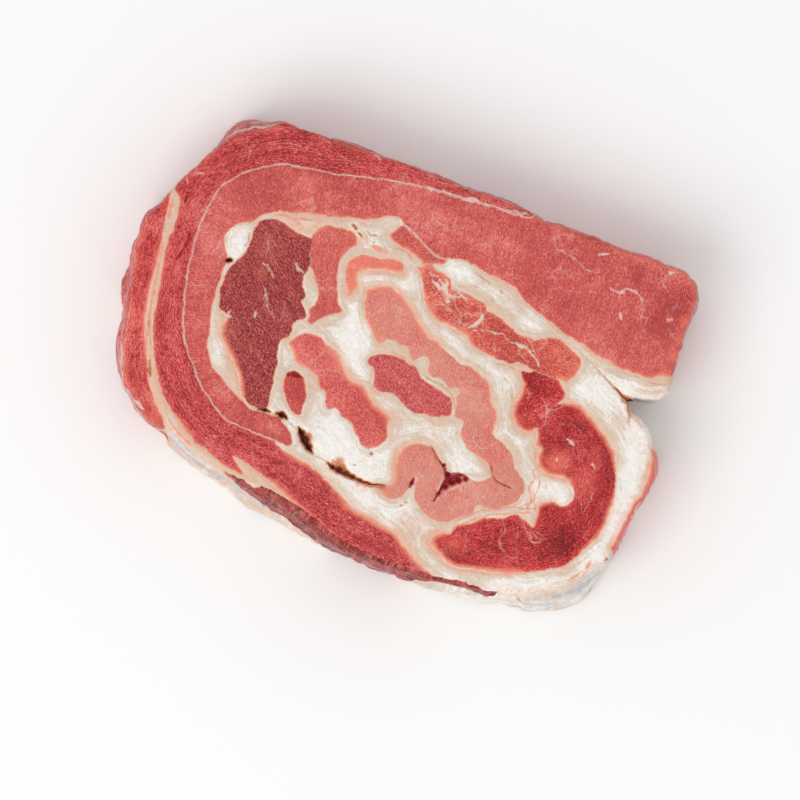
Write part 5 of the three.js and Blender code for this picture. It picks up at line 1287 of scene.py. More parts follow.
class Paint:
    """What the finish of a piece needs, at each of its points."""

    def __init__(self, portion, node, mesh):
        self.portion, self.node = portion, node
        self.place = read(mesh.vertices, "co", 3, float)
        self.xy, self.z = self.place[:, :2], self.place[:, 2]
        self.depth = portion.relief(self.xy) - LIP_DROP - self.z
        self.on_face = face_points_of(mesh)
        source = self.xy - drift(self.xy, self.z)
        _, self.edge = nearest(portion.fatty_tree, source)
        _, self.seam = nearest(portion.seam_tree, source)
        self.at_rim, _ = nearest(portion.rim_tree, self.xy)
        self.shows = self.shown()

    def shown(self):
        """How far the marks of the cut face show."""
        beyond = self.xy - self.portion.rim[self.at_rim]
        beyond = np.sum(beyond * self.portion.rim_out[self.at_rim], axis=1)
        fade = smooth_step(self.depth + waves(self.place, *WALL_RANGE_WAVES), *WALL_RANGE)
        rim = smooth_step(beyond, *RIM_RANGE) * (1 - fade)
        shows = np.maximum(1 - smooth_step(self.depth, *FACE_RANGE), rim)
        shows[self.on_face] = 1
        return shows

    def marks(self):
        """Shares of white fat lines, lilac membranes, brown vessels and orange tissue."""
        xy, shows = self.xy, self.shows
        speck = flat(xy / SPECK)
        bent = xy + SPECK_BEND * np.column_stack([noise(speck, 31), noise(speck, 32)])
        width, strength = WRAP_THREAD if self.node in WRAPS else OTHER_THREAD
        width = width + THREAD_WIDTH_CHANGE * noise(speck, 12)
        thread = strength * (1 - smooth_step(self.seam, width, width + THREAD_SOFTNESS))
        thread *= THREAD_STRENGTH + THREAD_STRENGTH_CHANGE * noise(speck, 14)
        return np.column_stack([
            np.maximum(line_field(bent, WHITE_LINES, *WHITE_MARKS) * shows, thread),
            line_field(xy, LILAC_LINES, *LILAC_MARKS) * shows * (self.node != "side_lean"),
            line_field(xy, BROWN_LINES, *BROWN_MARKS) * shows,
            line_field(xy, ORANGE_LINES, *ORANGE_MARKS) * shows,
        ])

    def painted_fold_shade(self):
        """Shares of painted shade in folds, creases and hollows, brown in fat and red in lean; at
        the folds' rims it is partly their own brown or red.
        """
        dark = CREASE_SHADE_SHARE * line_field(self.xy, SHADED_CREASES, *CREASE_SHADE_MARKS) * self.shows
        fatty = self.node in FATS
        red = dark * (not fatty) * (PALE_FOLD_SHARE if self.node == "pale_fold_lean" else 1)
        dark *= fatty
        # Folds darken towards their bottoms: painted shade, with their own brown or red at the rim.
        for field, lines in ((dark, FAT_OPENINGS), (red, LEAN_OPENINGS)):
            for bottom, away in self.portion.openings(self.xy, lines):
                fold_rim_and_shade = FOLD_STRENGTH + FOLD_SHADE_GAIN * np.clip(self.depth / bottom, 0, 1)
                np.maximum(field, fold_rim_and_shade * (1 - smooth_step(away, *FOLD_EDGE)), out=field)
        # Painted shade of the hollows, where they lie near the face.
        shallow = 1 - smooth_step(self.depth, *GLOOM_RANGE)
        for field, spots in ((dark, SHADED_HOLLOWS), (red, RED_SHADED_HOLLOWS)):
            for x, y, radius, strength in spots:
                away = np.hypot(self.xy[:, 0] - x, self.xy[:, 1] - y)
                hollow_shade = strength * shallow * np.exp(-((away / radius) ** 3))
                np.maximum(field, hollow_shade, out=field)
        return dark, red

    def tones(self):
        """Lightness, with 0.5 for no change, and warmth."""
        node = self.node
        tone = np.full(len(self.xy), 0.5)
        warm = np.zeros(len(self.xy))
        for x, y, radius, lift, warmth in SPOTS:
            square = ((self.xy - (x, y)) ** 2).sum(1)
            spot = np.exp(-(square / radius**2) ** 1.5) * self.shows
            tone += SPOT_SHARE * lift * spot
            warm = np.maximum(warm, warmth * spot)
        if node == "inner_wrap_lean":
            seam_shade, edge_shade = INNER_SEAM_SHADE, INNER_EDGE_SHADE
            shade = seam_shade[0] * np.exp(-self.seam / seam_shade[1])
            tone -= shade + edge_shade[0] * np.exp(-self.edge / edge_shade[1])
        _, lip = nearest(self.portion.lip_tree, self.xy)
        dried = np.exp(-((lip / DRIED_WIDTH) ** 2))
        dried *= smooth_step(noise(self.place / DRIED_LENGTH, 19), *DRIED_RANGE) * self.on_face
        warm = np.maximum(warm, DRIED_WARMTH * dried)
        if node == "seam_fat":
            tone -= SEAM_FAT_SHADE
            warm = np.maximum(warm, SEAM_FAT_WARMTH)
        elif node in ("small_lean", "upper_sliver_lean"):
            tone -= SMALL_PIECE_SHADE
        elif node == "side_lean":
            warm *= SIDE_WARMTH
        elif node == "right_edge_lean":
            upper = 1 - RIGHT_EDGE_FADE * smooth_step(self.depth, *RIGHT_EDGE_RANGE)
            tone += RIGHT_EDGE_LIGHT * upper
            warm = np.maximum(warm, RIGHT_EDGE_WARMTH * upper)
        return tone, warm

    def glow_and_edge(self):
        """How softly the lean ends at the fat, and how near the fat is. The side lean has none."""
        if self.node == "side_lean":
            return np.zeros(len(self.xy)), np.ones(len(self.xy))
        glow = np.minimum(1, GLOW_GAIN * line_field(self.xy, GLOW_LINES, *GLOW_MARKS))
        return glow * np.maximum(self.shows, GLOW_LEAST), np.clip(self.edge / EDGE_RANGE, 0, 1)

    def flow(self):
        """Grain coordinates on the cut face and on the wall."""
        face = grain_place(self.portion, self.node, self.xy, self.edge)
        run = np.linalg.norm(np.diff(self.portion.rim, axis=0), axis=1)
        around = np.concatenate([[0], np.cumsum(run)])[self.at_rim]
        for layer in WALL_GRAIN_WAVES:
            around = around + waves(self.place, *layer)
        slice_of = np.full(len(self.xy), WALL_GRAIN_SLICE)
        wall = np.column_stack([self.z / GRAIN_STRETCH, around, slice_of])
        return np.where(self.on_face[:, None], face, wall)


def paint(portion, node, mesh):
    """Stores on the points of a piece what its finish needs, and moves it over the origin."""
    piece = Paint(portion, node, mesh)
    # dark and red hold the painted shade of folds, creases and hollows, in fat and in lean.
    dark, red = piece.painted_fold_shade()
    tone, warm = piece.tones()
    glow, edge = piece.glow_and_edge()
    wall = smooth_step(piece.depth, *FILM_RANGE)
    wall[piece.on_face] = 0
    colours = {
        "marks": piece.marks(),
        # The first channel of state and the third of tint are that painted shade.
        "state": np.column_stack([dark, edge, tone, wall]),
        "tint": np.column_stack([glow, warm, red, np.ones(len(red))]),
    }
    for name, values in colours.items():
        layer = mesh.attributes.new(name, "FLOAT_COLOR", "POINT")
        layer.data.foreach_set("color", values.astype(np.float32).ravel())
    layer = mesh.attributes.new("flow", "FLOAT_VECTOR", "POINT")
    layer.data.foreach_set("vector", piece.flow().astype(np.float32).ravel())
    moved = (piece.place - [*CENTRE, 0]) * MM
    mesh.vertices.foreach_set("co", moved.astype(np.float32).ravel())
    mesh.update()


def srgb(red, green, blue):
    """Linear colour of a screen colour given as 0 to 255."""
    parts = []
    for value in (red / 255, green / 255, blue / 255):
        parts.append(value / 12.92 if value <= 0.04045 else ((value + 0.055) / 1.055) ** 2.4)
    return tuple(parts)


class Finish:
    """One procedural material and the nodes that make it."""

    def __init__(self, name):
        self.material = bpy.data.materials.new(name)
        self.material.use_nodes = True
        self.tree = self.material.node_tree
        self.tree.nodes.clear()
        self.shader = self.node("BsdfPrincipled")
        self.node("OutputMaterial", {0: self.shader.outputs[0]})
        self.place = self.node("TexCoord").outputs["Object"]
        self.flow = self.layer("flow").outputs["Vector"]
        self.fibre = self.stretched(self.flow, 3.0, 1.0, 1.0)
        self.flat = self.stretched(self.place, 1.0, 1.0, 3.5)
        marks, state = self.layer("marks"), self.layer("state")
        self.white, self.lilac, self.brown = self.split(marks.outputs["Color"])
        self.orange = marks.outputs["Alpha"]
        # dark: painted shade of folds, creases and hollows in fat.
        self.dark, edge, self.tone = self.split(state.outputs["Color"])
        self.edge = self.math("MULTIPLY", edge, EDGE_RANGE)
        self.wall = state.outputs["Alpha"]
        # red: the same painted shade in lean.
        self.glow, self.warm, self.red = self.split(self.layer("tint").outputs["Color"])

    def node(self, kind, inputs=(), **settings):
        """A new node with its settings, and with its inputs linked or set."""
        node = self.tree.nodes.new("ShaderNode" + kind)
        for name, value in settings.items():
            setattr(node, name, value)
        for key, value in dict(inputs).items():
            self.feed(node.inputs[key], value)
        return node

    def feed(self, socket, value):
        if isinstance(value, bpy.types.NodeSocket):
            self.tree.links.new(value, socket)
        else:
            socket.default_value = value

    def layer(self, name):
        return self.node("Attribute", attribute_name=name)

    def stretched(self, vector, x, y, z):
        inputs = {0: vector, 1: (x, y, z)}
        return self.node("VectorMath", inputs, operation="MULTIPLY").outputs[0]

    def split(self, colour):
        return tuple(self.node("SeparateColor", {0: colour}).outputs)

    def math(self, operation, a, b=0.0, c=0.0):
        return self.node("Math", enumerate((a, b, c)), operation=operation).outputs[0]

    def times(self, *values):
        result = values[0]
        for value in values[1:]:
            result = self.math("MULTIPLY", result, value)
        return result

    def grow(self, value, share, start):
        """The value times the share, plus the start."""
        return self.math("MULTIPLY_ADD", value, share, start)

    def shift(self, start, value, share):
        """The start, moved by how far the value is from 0.5, times the share."""
        return self.grow(self.math("SUBTRACT", value, 0.5), share, start)

    def blend(self, *shares):
        """0.5, moved by how far each value is from 0.5, times its share."""
        result = 0.5
        for value, share in shares:
            result = self.shift(result, value, share)
        return result

    def step(self, value, low, high):
        """Eased from 0 at low to 1 at high."""
        ends = (0.0, 1.0) if low <= high else (1.0, 0.0)
        inputs = {"Value": value, "From Min": min(low, high), "From Max": max(low, high),
                  "To Min": ends[0], "To Max": ends[1]}
        return self.node("MapRange", inputs, interpolation_type="SMOOTHSTEP").outputs[0]

    def noise(self, vector, scale, detail=2.0, rough=0.5, warp=0.0):
        inputs = {"Vector": vector, "Scale": scale, "Detail": detail, "Roughness": rough,
                  "Distortion": warp}
        return self.node("TexNoise", inputs).outputs[0]

    def patches(self, vector, low, high, *noise):
        """Eased areas where a noise is above low."""
        return self.step(self.noise(vector, *noise), low, high)

    def veins(self, vector, scale, width, warp=0.0):
        """Thin lines where a noise passes through its middle value."""
        value = self.noise(vector, scale, warp=warp)
        away = self.math("ABSOLUTE", self.math("SUBTRACT", value, 0.5))
        return self.step(away, width, 0.25 * width)

    def cells(self, vector, scale, width, rough=0.5, roughness=0.0):
        """Lines between irregular cells, with soft edges that follow a noise."""
        bend = self.node("TexNoise", {"Vector": vector, "Scale": 1.7 * scale})
        inputs = {0: bend.outputs["Color"], 1: (0.5 / scale,) * 3, 2: vector}
        bent = self.node("VectorMath", inputs, operation="MULTIPLY_ADD").outputs[0]
        inputs = {"Vector": bent, "Scale": scale}
        edge = self.node("TexVoronoi", inputs, feature="DISTANCE_TO_EDGE").outputs["Distance"]
        return self.step(self.shift(edge, rough, roughness), width, 0.1 * width)

    def mix(self, amount, a, b):
        inputs = {0: amount}
        for key, value in ((6, a), (7, b)):
            linked = isinstance(value, bpy.types.NodeSocket)
            inputs[key] = value if linked else (*value[:3], 1)
        return self.node("Mix", inputs, data_type="RGBA").outputs[2]

    def ramp(self, value, *stops):
        node = self.node("ValToRGB", {0: value})
        node.color_ramp.interpolation = "EASE"
        marks = node.color_ramp.elements
        while len(marks) < len(stops):
            marks.new(0.5)
        for mark, (position, colour) in zip(marks, stops):
            mark.position = position
            mark.color = (*colour[:3], 1)
        return node.outputs[0]

    def connect(self, colour, roughness, height, **values):
        """Connects the shader's colour, roughness and relief, and sets its other values."""
        relief = {"Strength": 0.5, "Distance": 0.0005, "Height": height}
        values |= {"Base_Color": colour, "Roughness": roughness}
        values["Normal"] = self.node("Bump", relief).outputs[0]
        for name, value in values.items():
            self.feed(self.shader.inputs[name.replace("_", " ")], value)
        return self.material


def scaled(colour, red, green, blue):
    return (colour[0] * red, colour[1] * green, colour[2] * blue)


def toward(a, b, share):
    return tuple(p + (q - p) * share for p, q in zip(a, b))


# How the lean muscles differ: contrast, fine grain, strands, broad areas, pale flecks that are
# partly fat and partly painted glints, veins, crease lines of painted shade, and how far the orange
# rim by the fat reaches.
LEAN_LOOKS = {
    "lean_side": (1.0, 1.3, 2.0, 0.7, 0.2, 0.2, 0.0, 0.3),
    "lean_edge": (1.1, 1.25, 0.9, 1.5, 0.3, 0.35, 0.3, 0.8),
    "lean_inner": (0.8, 1.0, 0.45, 0.95, 0.4, 0.3, 0.9, 0.5),
    "lean_outer": (1.05, 1.5, 1.0, 1.0, 0.3, 0.25, 0.25, 0.5),
    "lean_dark": (0.75, 2.3, 1.0, 0.2, 0.1, 0.15, 0.2, 0.2),
    "lean_panel": (0.75, 1.0, 0.4, 0.5, 0.2, 0.2, 0.3, 0.5),
    "lean_marbled": (0.95, 1.0, 0.4, 1.2, 0.4, 0.5, 0.3, 0.9),
    "lean_arc": (0.5, 0.8, 0.3, 0.8, 0.15, 0.1, 0.0, 0.8),
    "lean_peach": (0.55, 1.0, 0.3, 0.9, 0.15, 0.25, 0.5, 0.5),
    "lean_island": (0.8, 1.35, 0.7, 0.4, 0.3, 0.3, 0.2, 0.3),
    "lean_long": (0.75, 1.3, 0.4, 0.8, 0.3, 0.35, 0.3, 0.6),
    "lean_lobe": (1.2, 1.3, 0.4, 1.3, 0.4, 0.3, 0.8, 0.5),
    "lean_curve": (1.2, 1.15, 0.6, 1.2, 0.35, 0.3, 0.8, 0.5),
}
LEAN_SURFACE = {
    "IOR": 1.4, "Specular_IOR_Level": 0.4, "Subsurface_Weight": 0.08,
    "Subsurface_Scale": 0.001, "Subsurface_Radius": (1.0, 0.3, 0.2),
}
FAT_SURFACE = {
    "IOR": 1.42, "Specular_IOR_Level": 0.4, "Subsurface_Weight": 0.12,
    "Subsurface_Scale": 0.0015, "Subsurface_Radius": (1.0, 0.6, 0.4),
}
WET_FILM = -0.08
# How much red, green and blue the deep, the deepest and the pale shade take from the middle one.
LEAN_SHADES = ((0.26, 0.5, 0.48), (0.52, 0.74, 0.72), (-0.24, -0.8, -0.7))


class LeanFinish(Finish):
    """Raw lean: fibres, fine grain, marbling, crease lines of painted shade, orange rim by the fat,
    film on walls.
    """

    def __init__(self, slot, colours):
        super().__init__(slot)
        self.slot, self.colours = slot, colours
        contrast, *self.look, self.halo_reach = LEAN_LOOKS[slot]
        self.middle = tuple(getattr(colours, slot))
        spread = contrast * (1.15 - self.middle[0]) / 0.55
        self.deep, self.deepest, self.pale = (
            scaled(self.middle, 1 - r * spread, 1 - g * contrast, 1 - b * contrast)
            for r, g, b in LEAN_SHADES)
        self.palest = toward(self.pale, colours.fat_cream, 0.55)
        self.wide = self.noise(self.place, 26.0, 1.0)
        self.broad = self.noise(self.place, 70.0, 2.0)
        self.patch = self.noise(self.place, 260.0, 3.0)
        self.grain = self.noise(self.place, 2000.0, 2.0, 0.6)
        self.strand = self.noise(self.flow, 1.2, 3.0, 0.65, 0.8)
        self.band = self.noise(self.flow, 0.32, 2.0, 0.5, 0.4)
        self.fibres = self.noise(self.fibre, 2.2, 2.0, 0.6, 0.4)

    def body(self):
        """Shades of red between the deepest and the palest, with pale flecks that are partly fat
        and partly painted glints, and crease lines of painted shade.
        """
        fine, strands, areas, flecks_and_glints, _, crease_shading = self.look
        value = self.blend(
            (self.wide, 0.7 * areas), (self.broad, 0.6 * areas), (self.patch, 0.45),
            (self.grain, 1.2 * fine), (self.fibres, 1.9 * fine), (self.strand, 1.2 * strands),
            (self.band, 0.8 * strands), (self.tone, 1.0))
        highlight = toward(self.pale, self.colours.fat_cream, 0.15)
        colour = self.ramp(
            value, (0.02, self.deepest), (0.28, self.deep), (0.5, self.middle),
            (0.72, self.pale), (1.0, highlight))
        # Pale specks: partly flecks of fat, partly painted glints of the wet surface.
        fleck_and_glint = self.patches(self.place, 0.64, 0.74, 1100.0, 1.0)
        fleck_and_glint = self.times(fleck_and_glint, self.step(self.patch, 0.45, 0.6), flecks_and_glints)
        colour = self.mix(fleck_and_glint, colour, self.palest)
        # Thin crease lines darkened to the deep shade: painted shade in the creases.
        if crease_shading:
            crease_shade = self.cells(self.place, 110.0, 0.04)
            crease_shade = self.times(crease_shade, self.step(self.broad, 0.36, 0.5), crease_shading)
            colour = self.mix(self.times(crease_shade, 0.75), colour, self.deep)
        return colour

    def marbled(self, colour):
        """Fine net of fat, where the broad noise allows it."""
        veins = self.look[4]
        net = self.cells(self.place, 120.0, 0.035 + 0.05 * veins, self.grain, 0.12)
        lace = self.times(self.cells(self.place, 270.0, 0.07, self.grain, 0.15), 0.55)
        net = self.math("MAXIMUM", net, self.times(lace, self.step(self.patch, 0.45, 0.6)))
        sparse = self.step(self.broad, 0.62 - 0.3 * veins, 0.74 - 0.3 * veins)
        strength = min(0.25 + 0.5 * veins, 0.8)
        vein = self.times(net, sparse, self.step(self.fibres, 0.25, 0.5), strength)
        return self.mix(vein, colour, self.palest)

    def by_the_fat(self, colour):
        """Orange rim, then the fat's blush and cream where the lean fades into it."""
        colours, reach = self.colours, self.halo_reach
        bites = self.shift(self.shift(self.edge, self.fibres, 2.4), self.grain, 0.8)
        ragged = self.shift(bites, self.patch, 2.2)
        width = self.grow(self.step(self.wide, 0.4, 0.62), reach, 0.4 * reach + 0.1)
        share = self.math("DIVIDE", ragged, self.grow(self.glow, 4.2, width))
        near = self.times(self.step(share, 1.25, 0.1), 0.88)
        warm = self.math("MAXIMUM", near, self.times(self.warm, 0.6))
        burnt = scaled(colours.halo, 0.95, 0.78, 0.76)
        rim = self.ramp(self.fibres, (0.3, burnt), (0.7, colours.halo))
        colour = self.mix(warm, colour, rim)
        faded = self.times(self.step(share, 0.62, -0.1), self.grow(self.glow, 0.65, 0.1))
        colour = self.mix(faded, colour, colours.blush)
        bitten = self.times(self.step(bites, 0.4, -0.15), 0.8)
        colour = self.mix(bitten, colour, colours.blush)
        creamy = self.times(self.step(share, 0.2, -0.1), self.glow)
        return self.mix(creamy, colour, colours.fat_cream)

    def complete(self):
        """The finished material."""
        colours, patch = self.colours, self.patch
        colour = self.by_the_fat(self.marbled(self.body()))
        if self.slot == "lean_peach":
            sallow = self.times(self.step(self.wide, 0.42, 0.62), 0.35)
            colour = self.mix(sallow, colour, scaled(self.middle, 0.82, 1.02, 0.95))
        film = self.patches(self.flat, 0.47, 0.66, 38.0, 6.0, 0.62, 0.6)
        film = self.times(film, self.wall)
        filmy, fatted = (0.06, 0.3) if self.slot == "lean_side" else (0.4, 0.75)
        veil = toward(self.middle, colours.membrane, 0.75)
        colour = self.mix(self.times(film, filmy), colour, veil)
        layer = self.patches(self.flat, 0.56, 0.61, 21.0, 7.0, 0.6, 0.8)
        layer = self.times(layer, self.wall)
        fatty = self.mix(patch, colours.fat_cream, colours.blush)
        colour = self.mix(self.times(layer, fatted), colour, fatty)
        creamy = 0.95 if self.slot == "lean_marbled" else 0.6
        thread = toward(self.palest, colours.fat_cream, creamy)
        colour = line_colours(self, colour, colours, self.grain, thread)
        rough = self.grow(film, WET_FILM, self.grow(patch, 0.3, 0.26))
        height = self.blend(
            (self.grain, 0.3), (self.fibres, 0.8), (self.strand, 0.7 * self.look[1] + 0.2),
            (patch, 0.5), (layer, 0.5))
        return self.connect(colour, rough, height, **LEAN_SURFACE)


def line_colours(f, colour, colours, grain, pale):
    """Fat lines, membranes, brown vessels, orange tissue, and the painted shade of folds, creases
    and hollows over a colour.
    """
    ragged = f.shift(0.0, grain, 0.5)
    thin = toward(colours.membrane, colours.fat_white, 0.4)
    film = f.mix(f.step(f.lilac, 0.55, 0.95), thin, colours.membrane)
    for mark, target, share in (
        (f.orange, colours.halo, 0.8), (f.lilac, film, 0.8),
        (f.white, pale, 0.85), (f.brown, colours.rust, 0.75),
    ):
        amount = f.times(f.step(f.math("ADD", mark, ragged), 0.08, 0.92), share)
        colour = f.mix(amount, colour, target)
    # The rim colour is partly the folds' own brown or red and partly painted shade; the bottom
    # colour is painted shade.
    for mark, rim, bottom in (
        (f.dark, colours.fold_rim_brown_and_shade, colours.fold_bottom_shade),
        (f.red, colours.fold_rim_red_and_shade, colours.red_fold_bottom_shade),
    ):
        spread = f.math("ADD", mark, f.times(ragged, 0.3))
        colour = f.mix(f.times(f.step(spread, 0.03, 0.45), 0.9), colour, rim)
        colour = f.mix(f.step(spread, 0.45, 1.0), colour, bottom)
    return colour


def lean_finish(slot, colours):
    return LeanFinish(slot, colours).complete()


def fat_finish(slot, colours):
    """Fat: cream with beige and greyish areas, fine layers along the lean, pink by the lean."""
    cream, beige = tuple(colours.fat_cream), tuple(colours.fat_beige)
    f = Finish(slot)
    broad = f.noise(f.place, 42.0, 2.0)
    patch = f.noise(f.place, 170.0, 3.0, 0.5, 0.4)
    grain = f.noise(f.place, 1600.0, 3.0, 0.65)
    layer = f.noise(f.flow, 0.8, 3.0, 0.6, 0.5)
    value = f.blend((broad, 1.3), (patch, 0.3), (grain, 1.0), (layer, 1.1), (f.tone, 1.6))
    value = f.math("ADD", value, f.grow(f.step(f.edge, 1.0, 5.5), 0.3, -0.12))
    low = toward(beige, colours.blush, 0.4)
    colour = f.ramp(value, (0.05, low), (0.3, beige), (0.55, cream), (0.8, colours.fat_white))
    grey = f.times(f.patches(f.place, 0.54, 0.7, 60.0, 2.0, 0.5, 0.6), 0.08)
    colour = f.mix(grey, colour, colours.membrane)
    # Thin beige lines along the small folds of the fat: painted shade in those folds.
    fold = f.times(f.veins(f.place, 210.0, 0.022, 1.1), f.step(patch, 0.42, 0.6), 0.4)
    colour = f.mix(fold, colour, toward(beige, colours.halo, 0.25))
    thread = f.times(f.veins(f.flow, 0.6, 0.018, 0.8), f.step(broad, 0.45, 0.6), 0.45)
    colour = f.mix(thread, colour, toward(beige, colours.halo, 0.35))
    reach = f.shift(f.shift(f.edge, patch, 2.0), grain, 1.4)
    share = f.math("DIVIDE", reach, f.grow(f.glow, 3.2, 1.1))
    blush = f.times(f.step(share, 1.0, -0.1), f.grow(f.glow, 0.55, 0.34))
    glowing = f.mix(f.times(f.glow, 0.4), colours.blush, colours.halo)
    colour = f.mix(blush, colour, glowing)
    tangle = f.patches(f.place, 0.42, 0.56, 420.0, 2.0, 0.5, 1.2)
    seep = f.times(f.warm, f.grow(tangle, 0.7, 0.15))
    colour = f.mix(seep, colour, toward(colours.blush, colours.halo, 0.4))
    film = f.times(f.patches(f.flat, 0.5, 0.64, 34.0, 6.0, 0.6, 0.8), f.wall)
    colour = f.mix(f.times(film, 0.7), colour, colours.membrane)
    stain = f.times(f.patches(f.flat, 0.53, 0.64, 24.0, 6.0, 0.62, 1.0), f.wall, 0.5)
    colour = f.mix(stain, colour, toward(colours.blush, colours.halo, 0.25))
    colour = line_colours(f, colour, colours, grain, colours.fat_white)
    rough = f.grow(film, WET_FILM, f.grow(patch, 0.25, 0.3))
    height = f.blend((grain, 0.5), (layer, 0.8), (patch, 0.9))
    return f.connect(colour, rough, height, **FAT_SURFACE)


def length_property(name, text, millimetres, low, high):
    return bpy.props.FloatProperty(
        name=name, description=text, default=millimetres * MM, min=low * MM, max=high * MM,
        precision=5, unit="LENGTH", subtype="DISTANCE")


def colour_property(name, text, red, green, blue):
    return bpy.props.FloatVectorProperty(
        name=name, description=text, default=srgb(red, green, blue), min=0.0, max=1.0,
        size=3, subtype="COLOR")


class BrisketSizes(bpy.types.PropertyGroup):
    """Sizes of the portion's detail."""

    face_step: length_property(
        "Face detail", "Distance between points of the cut face", 0.64, 0.4, 3)
    wall_step: length_property("Wall detail", "Distance between points of the wall", 0.7, 0.4, 3)
    face_texture: length_property(
        "Face texture", "Height of the fine unevenness of the cut face", 0.08, 0, 0.3)
    wall_lumps: length_property("Wall lumps", "Height of the unevenness of the wall", 0.8, 0, 2)
    floor_reach: length_property("Floor reach", "Half the side of the floor", 6000, 500, 20000)


class BrisketColours(bpy.types.PropertyGroup):
    """Colours of the lean, the fat and the floor."""

    lean_side: colour_property("Side lean", "Dark lean on the lower wall", 150, 38, 38)
    lean_edge: colour_property("Edge strips", "Lean of the strips at both ends", 203, 70, 68)
    lean_inner: colour_property("Inner wrap", "Pale lean of the inner wrap", 205, 89, 84)
    lean_outer: colour_property("Outer wrap", "Dark lean of the outer wrap", 192, 58, 60)
    lean_dark: colour_property("Dark muscle", "Lean of the dark muscle", 163, 45, 46)
    lean_panel: colour_property("Panel and sliver", "Lean right of the dark muscle", 206, 94, 85)
    lean_marbled: colour_property("Marbled lean", "Lean with much marbling", 215, 100, 84)
    lean_arc: colour_property("Arc", "Orange-red arc above the middle", 229, 124, 106)
    lean_peach: colour_property("Pale fold", "Peach coloured folded muscle", 217, 129, 115)
    lean_island: colour_property("Island", "Crimson lean inside the fold", 201, 83, 83)
    lean_long: colour_property("Long and small lean", "Lean left of the island", 211, 92, 86)
    lean_lobe: colour_property("Round lobe", "Dark lobe at the right", 197, 54, 55)
    lean_curve: colour_property("Right curve", "Dark lean along the right end", 187, 46, 49)
    halo: colour_property("Rim of the lean", "Orange tissue where lean meets fat", 233, 131, 103)
    blush: colour_property("Blush", "Fat that the lean shines through", 229, 181, 153)
    fat_white: colour_property("White fat", "Palest areas of the fat", 238, 234, 228)
    fat_cream: colour_property("Fat", "Main colour of the fat", 223, 210, 196)
    fat_beige: colour_property("Beige fat", "Darker areas of the fat", 214, 188, 168)
    membrane: colour_property("Membrane", "Greyish film", 182, 175, 178)
    rust: colour_property("Vessels", "Brown lines in the fat", 190, 112, 66)
    # Fold colours: the rims are partly the folds' own brown or red and partly painted shade, the
    # deepest parts are painted shade.
    fold_rim_brown_and_shade: colour_property("Fold edges in fat", "Brown rim of the open folds", 206, 116, 66)
    fold_bottom_shade: colour_property("Folds in fat", "Deepest part of the open folds", 100, 38, 18)
    fold_rim_red_and_shade: colour_property("Fold edges in lean", "Red rim of the open folds", 168, 46, 42)
    red_fold_bottom_shade: colour_property("Folds in lean", "Deepest part of folds in lean", 128, 14, 20)
    floor: colour_property("Floor", "Pale studio floor", 246, 246, 245)


# The shared shapes and the materials, once they are made.
BUILT = {}
SMOOTH_ANGLE = 52


def portion_of(context):
    """The shared shapes, made once."""
    if "portion" not in BUILT:
        BUILT["portion"] = Portion(context.scene.brisket_sizes)
    return BUILT["portion"]


def finish_of(context, slot):
    """The material of a slot, made once."""
    if slot not in BUILT:
        make = fat_finish if slot.startswith("fat") else lean_finish
        BUILT[slot] = make(slot, context.scene.brisket_colours)
    return BUILT[slot]


def add_object(scene, name, data):
    """A new object in the scene."""
    thing = bpy.data.objects.new(name, data)
    scene.collection.objects.link(thing)
    return thing


def add_piece(context, node, mesh):
    """Turns a mesh into the piece that stands for a node."""
    name, slot = PIECES[node][:2]
    paint(portion_of(context), node, mesh)
    mesh.name = name
    mesh.materials.clear()
    mesh.materials.append(finish_of(context, slot))
    mesh.polygons.foreach_set("use_smooth", np.ones(len(mesh.polygons), bool))
    mesh.set_sharp_from_angle(angle=math.radians(SMOOTH_ANGLE))
    piece = add_object(context.scene, name, mesh)
    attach(piece, "root")
    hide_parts(node)


def add_muscles(context, *nodes):
    for node in nodes:
        add_piece(context, node, portion_of(context).muscle(node))
    return {"FINISHED"}


class BRISKET_OT_wraps(bpy.types.Operator):
    """Adds the outer and the inner wrap"""

    bl_idname = "brisket.wraps"
    bl_label = "Wraps"

    def execute(self, context):
        return add_muscles(context, "inner_wrap_lean", "outer_wrap_lean")


class BRISKET_OT_edge_strips(bpy.types.Operator):
    """Adds the thin strips of lean at both ends"""

    bl_idname = "brisket.edge_strips"
    bl_label = "Edge strips"

    def execute(self, context):
        return add_muscles(context, "left_edge_lean", "right_edge_lean")


class BRISKET_OT_side_lean(bpy.types.Operator):
    """Adds the dark lean that shows on the wall"""

    bl_idname = "brisket.side_lean"
    bl_label = "Side lean"

    def execute(self, context):
        return add_muscles(context, "side_lean")


class BRISKET_OT_dark_muscle(bpy.types.Operator):
    """Adds the dark muscle and the red lean beside and above it"""

    bl_idname = "brisket.dark_muscle"
    bl_label = "Dark muscle and red lean"

    def execute(self, context):
        return add_muscles(context, "dark_muscle", "red_panel_lean", "upper_sliver_lean")


class BRISKET_OT_marbled_lean(bpy.types.Operator):
    """Adds the marbled lean and the arc left of it"""

    bl_idname = "brisket.marbled_lean"
    bl_label = "Marbled lean and arc"

    def execute(self, context):
        return add_muscles(context, "marbled_lean", "arc_lean")


class BRISKET_OT_middle_lean(bpy.types.Operator):
    """Adds the pale fold, the island in it and the lean left of it"""

    bl_idname = "brisket.middle_lean"
    bl_label = "Middle lean"

    def execute(self, context):
        return add_muscles(context, "pale_fold_lean", "island_lean", "long_lean", "small_lean")


class BRISKET_OT_right_lean(bpy.types.Operator):
    """Adds the round lobe and the dark lean along the right end"""

    bl_idname = "brisket.right_lean"
    bl_label = "Right lean"

    def execute(self, context):
        return add_muscles(context, "round_lobe_lean", "right_curve_lean")


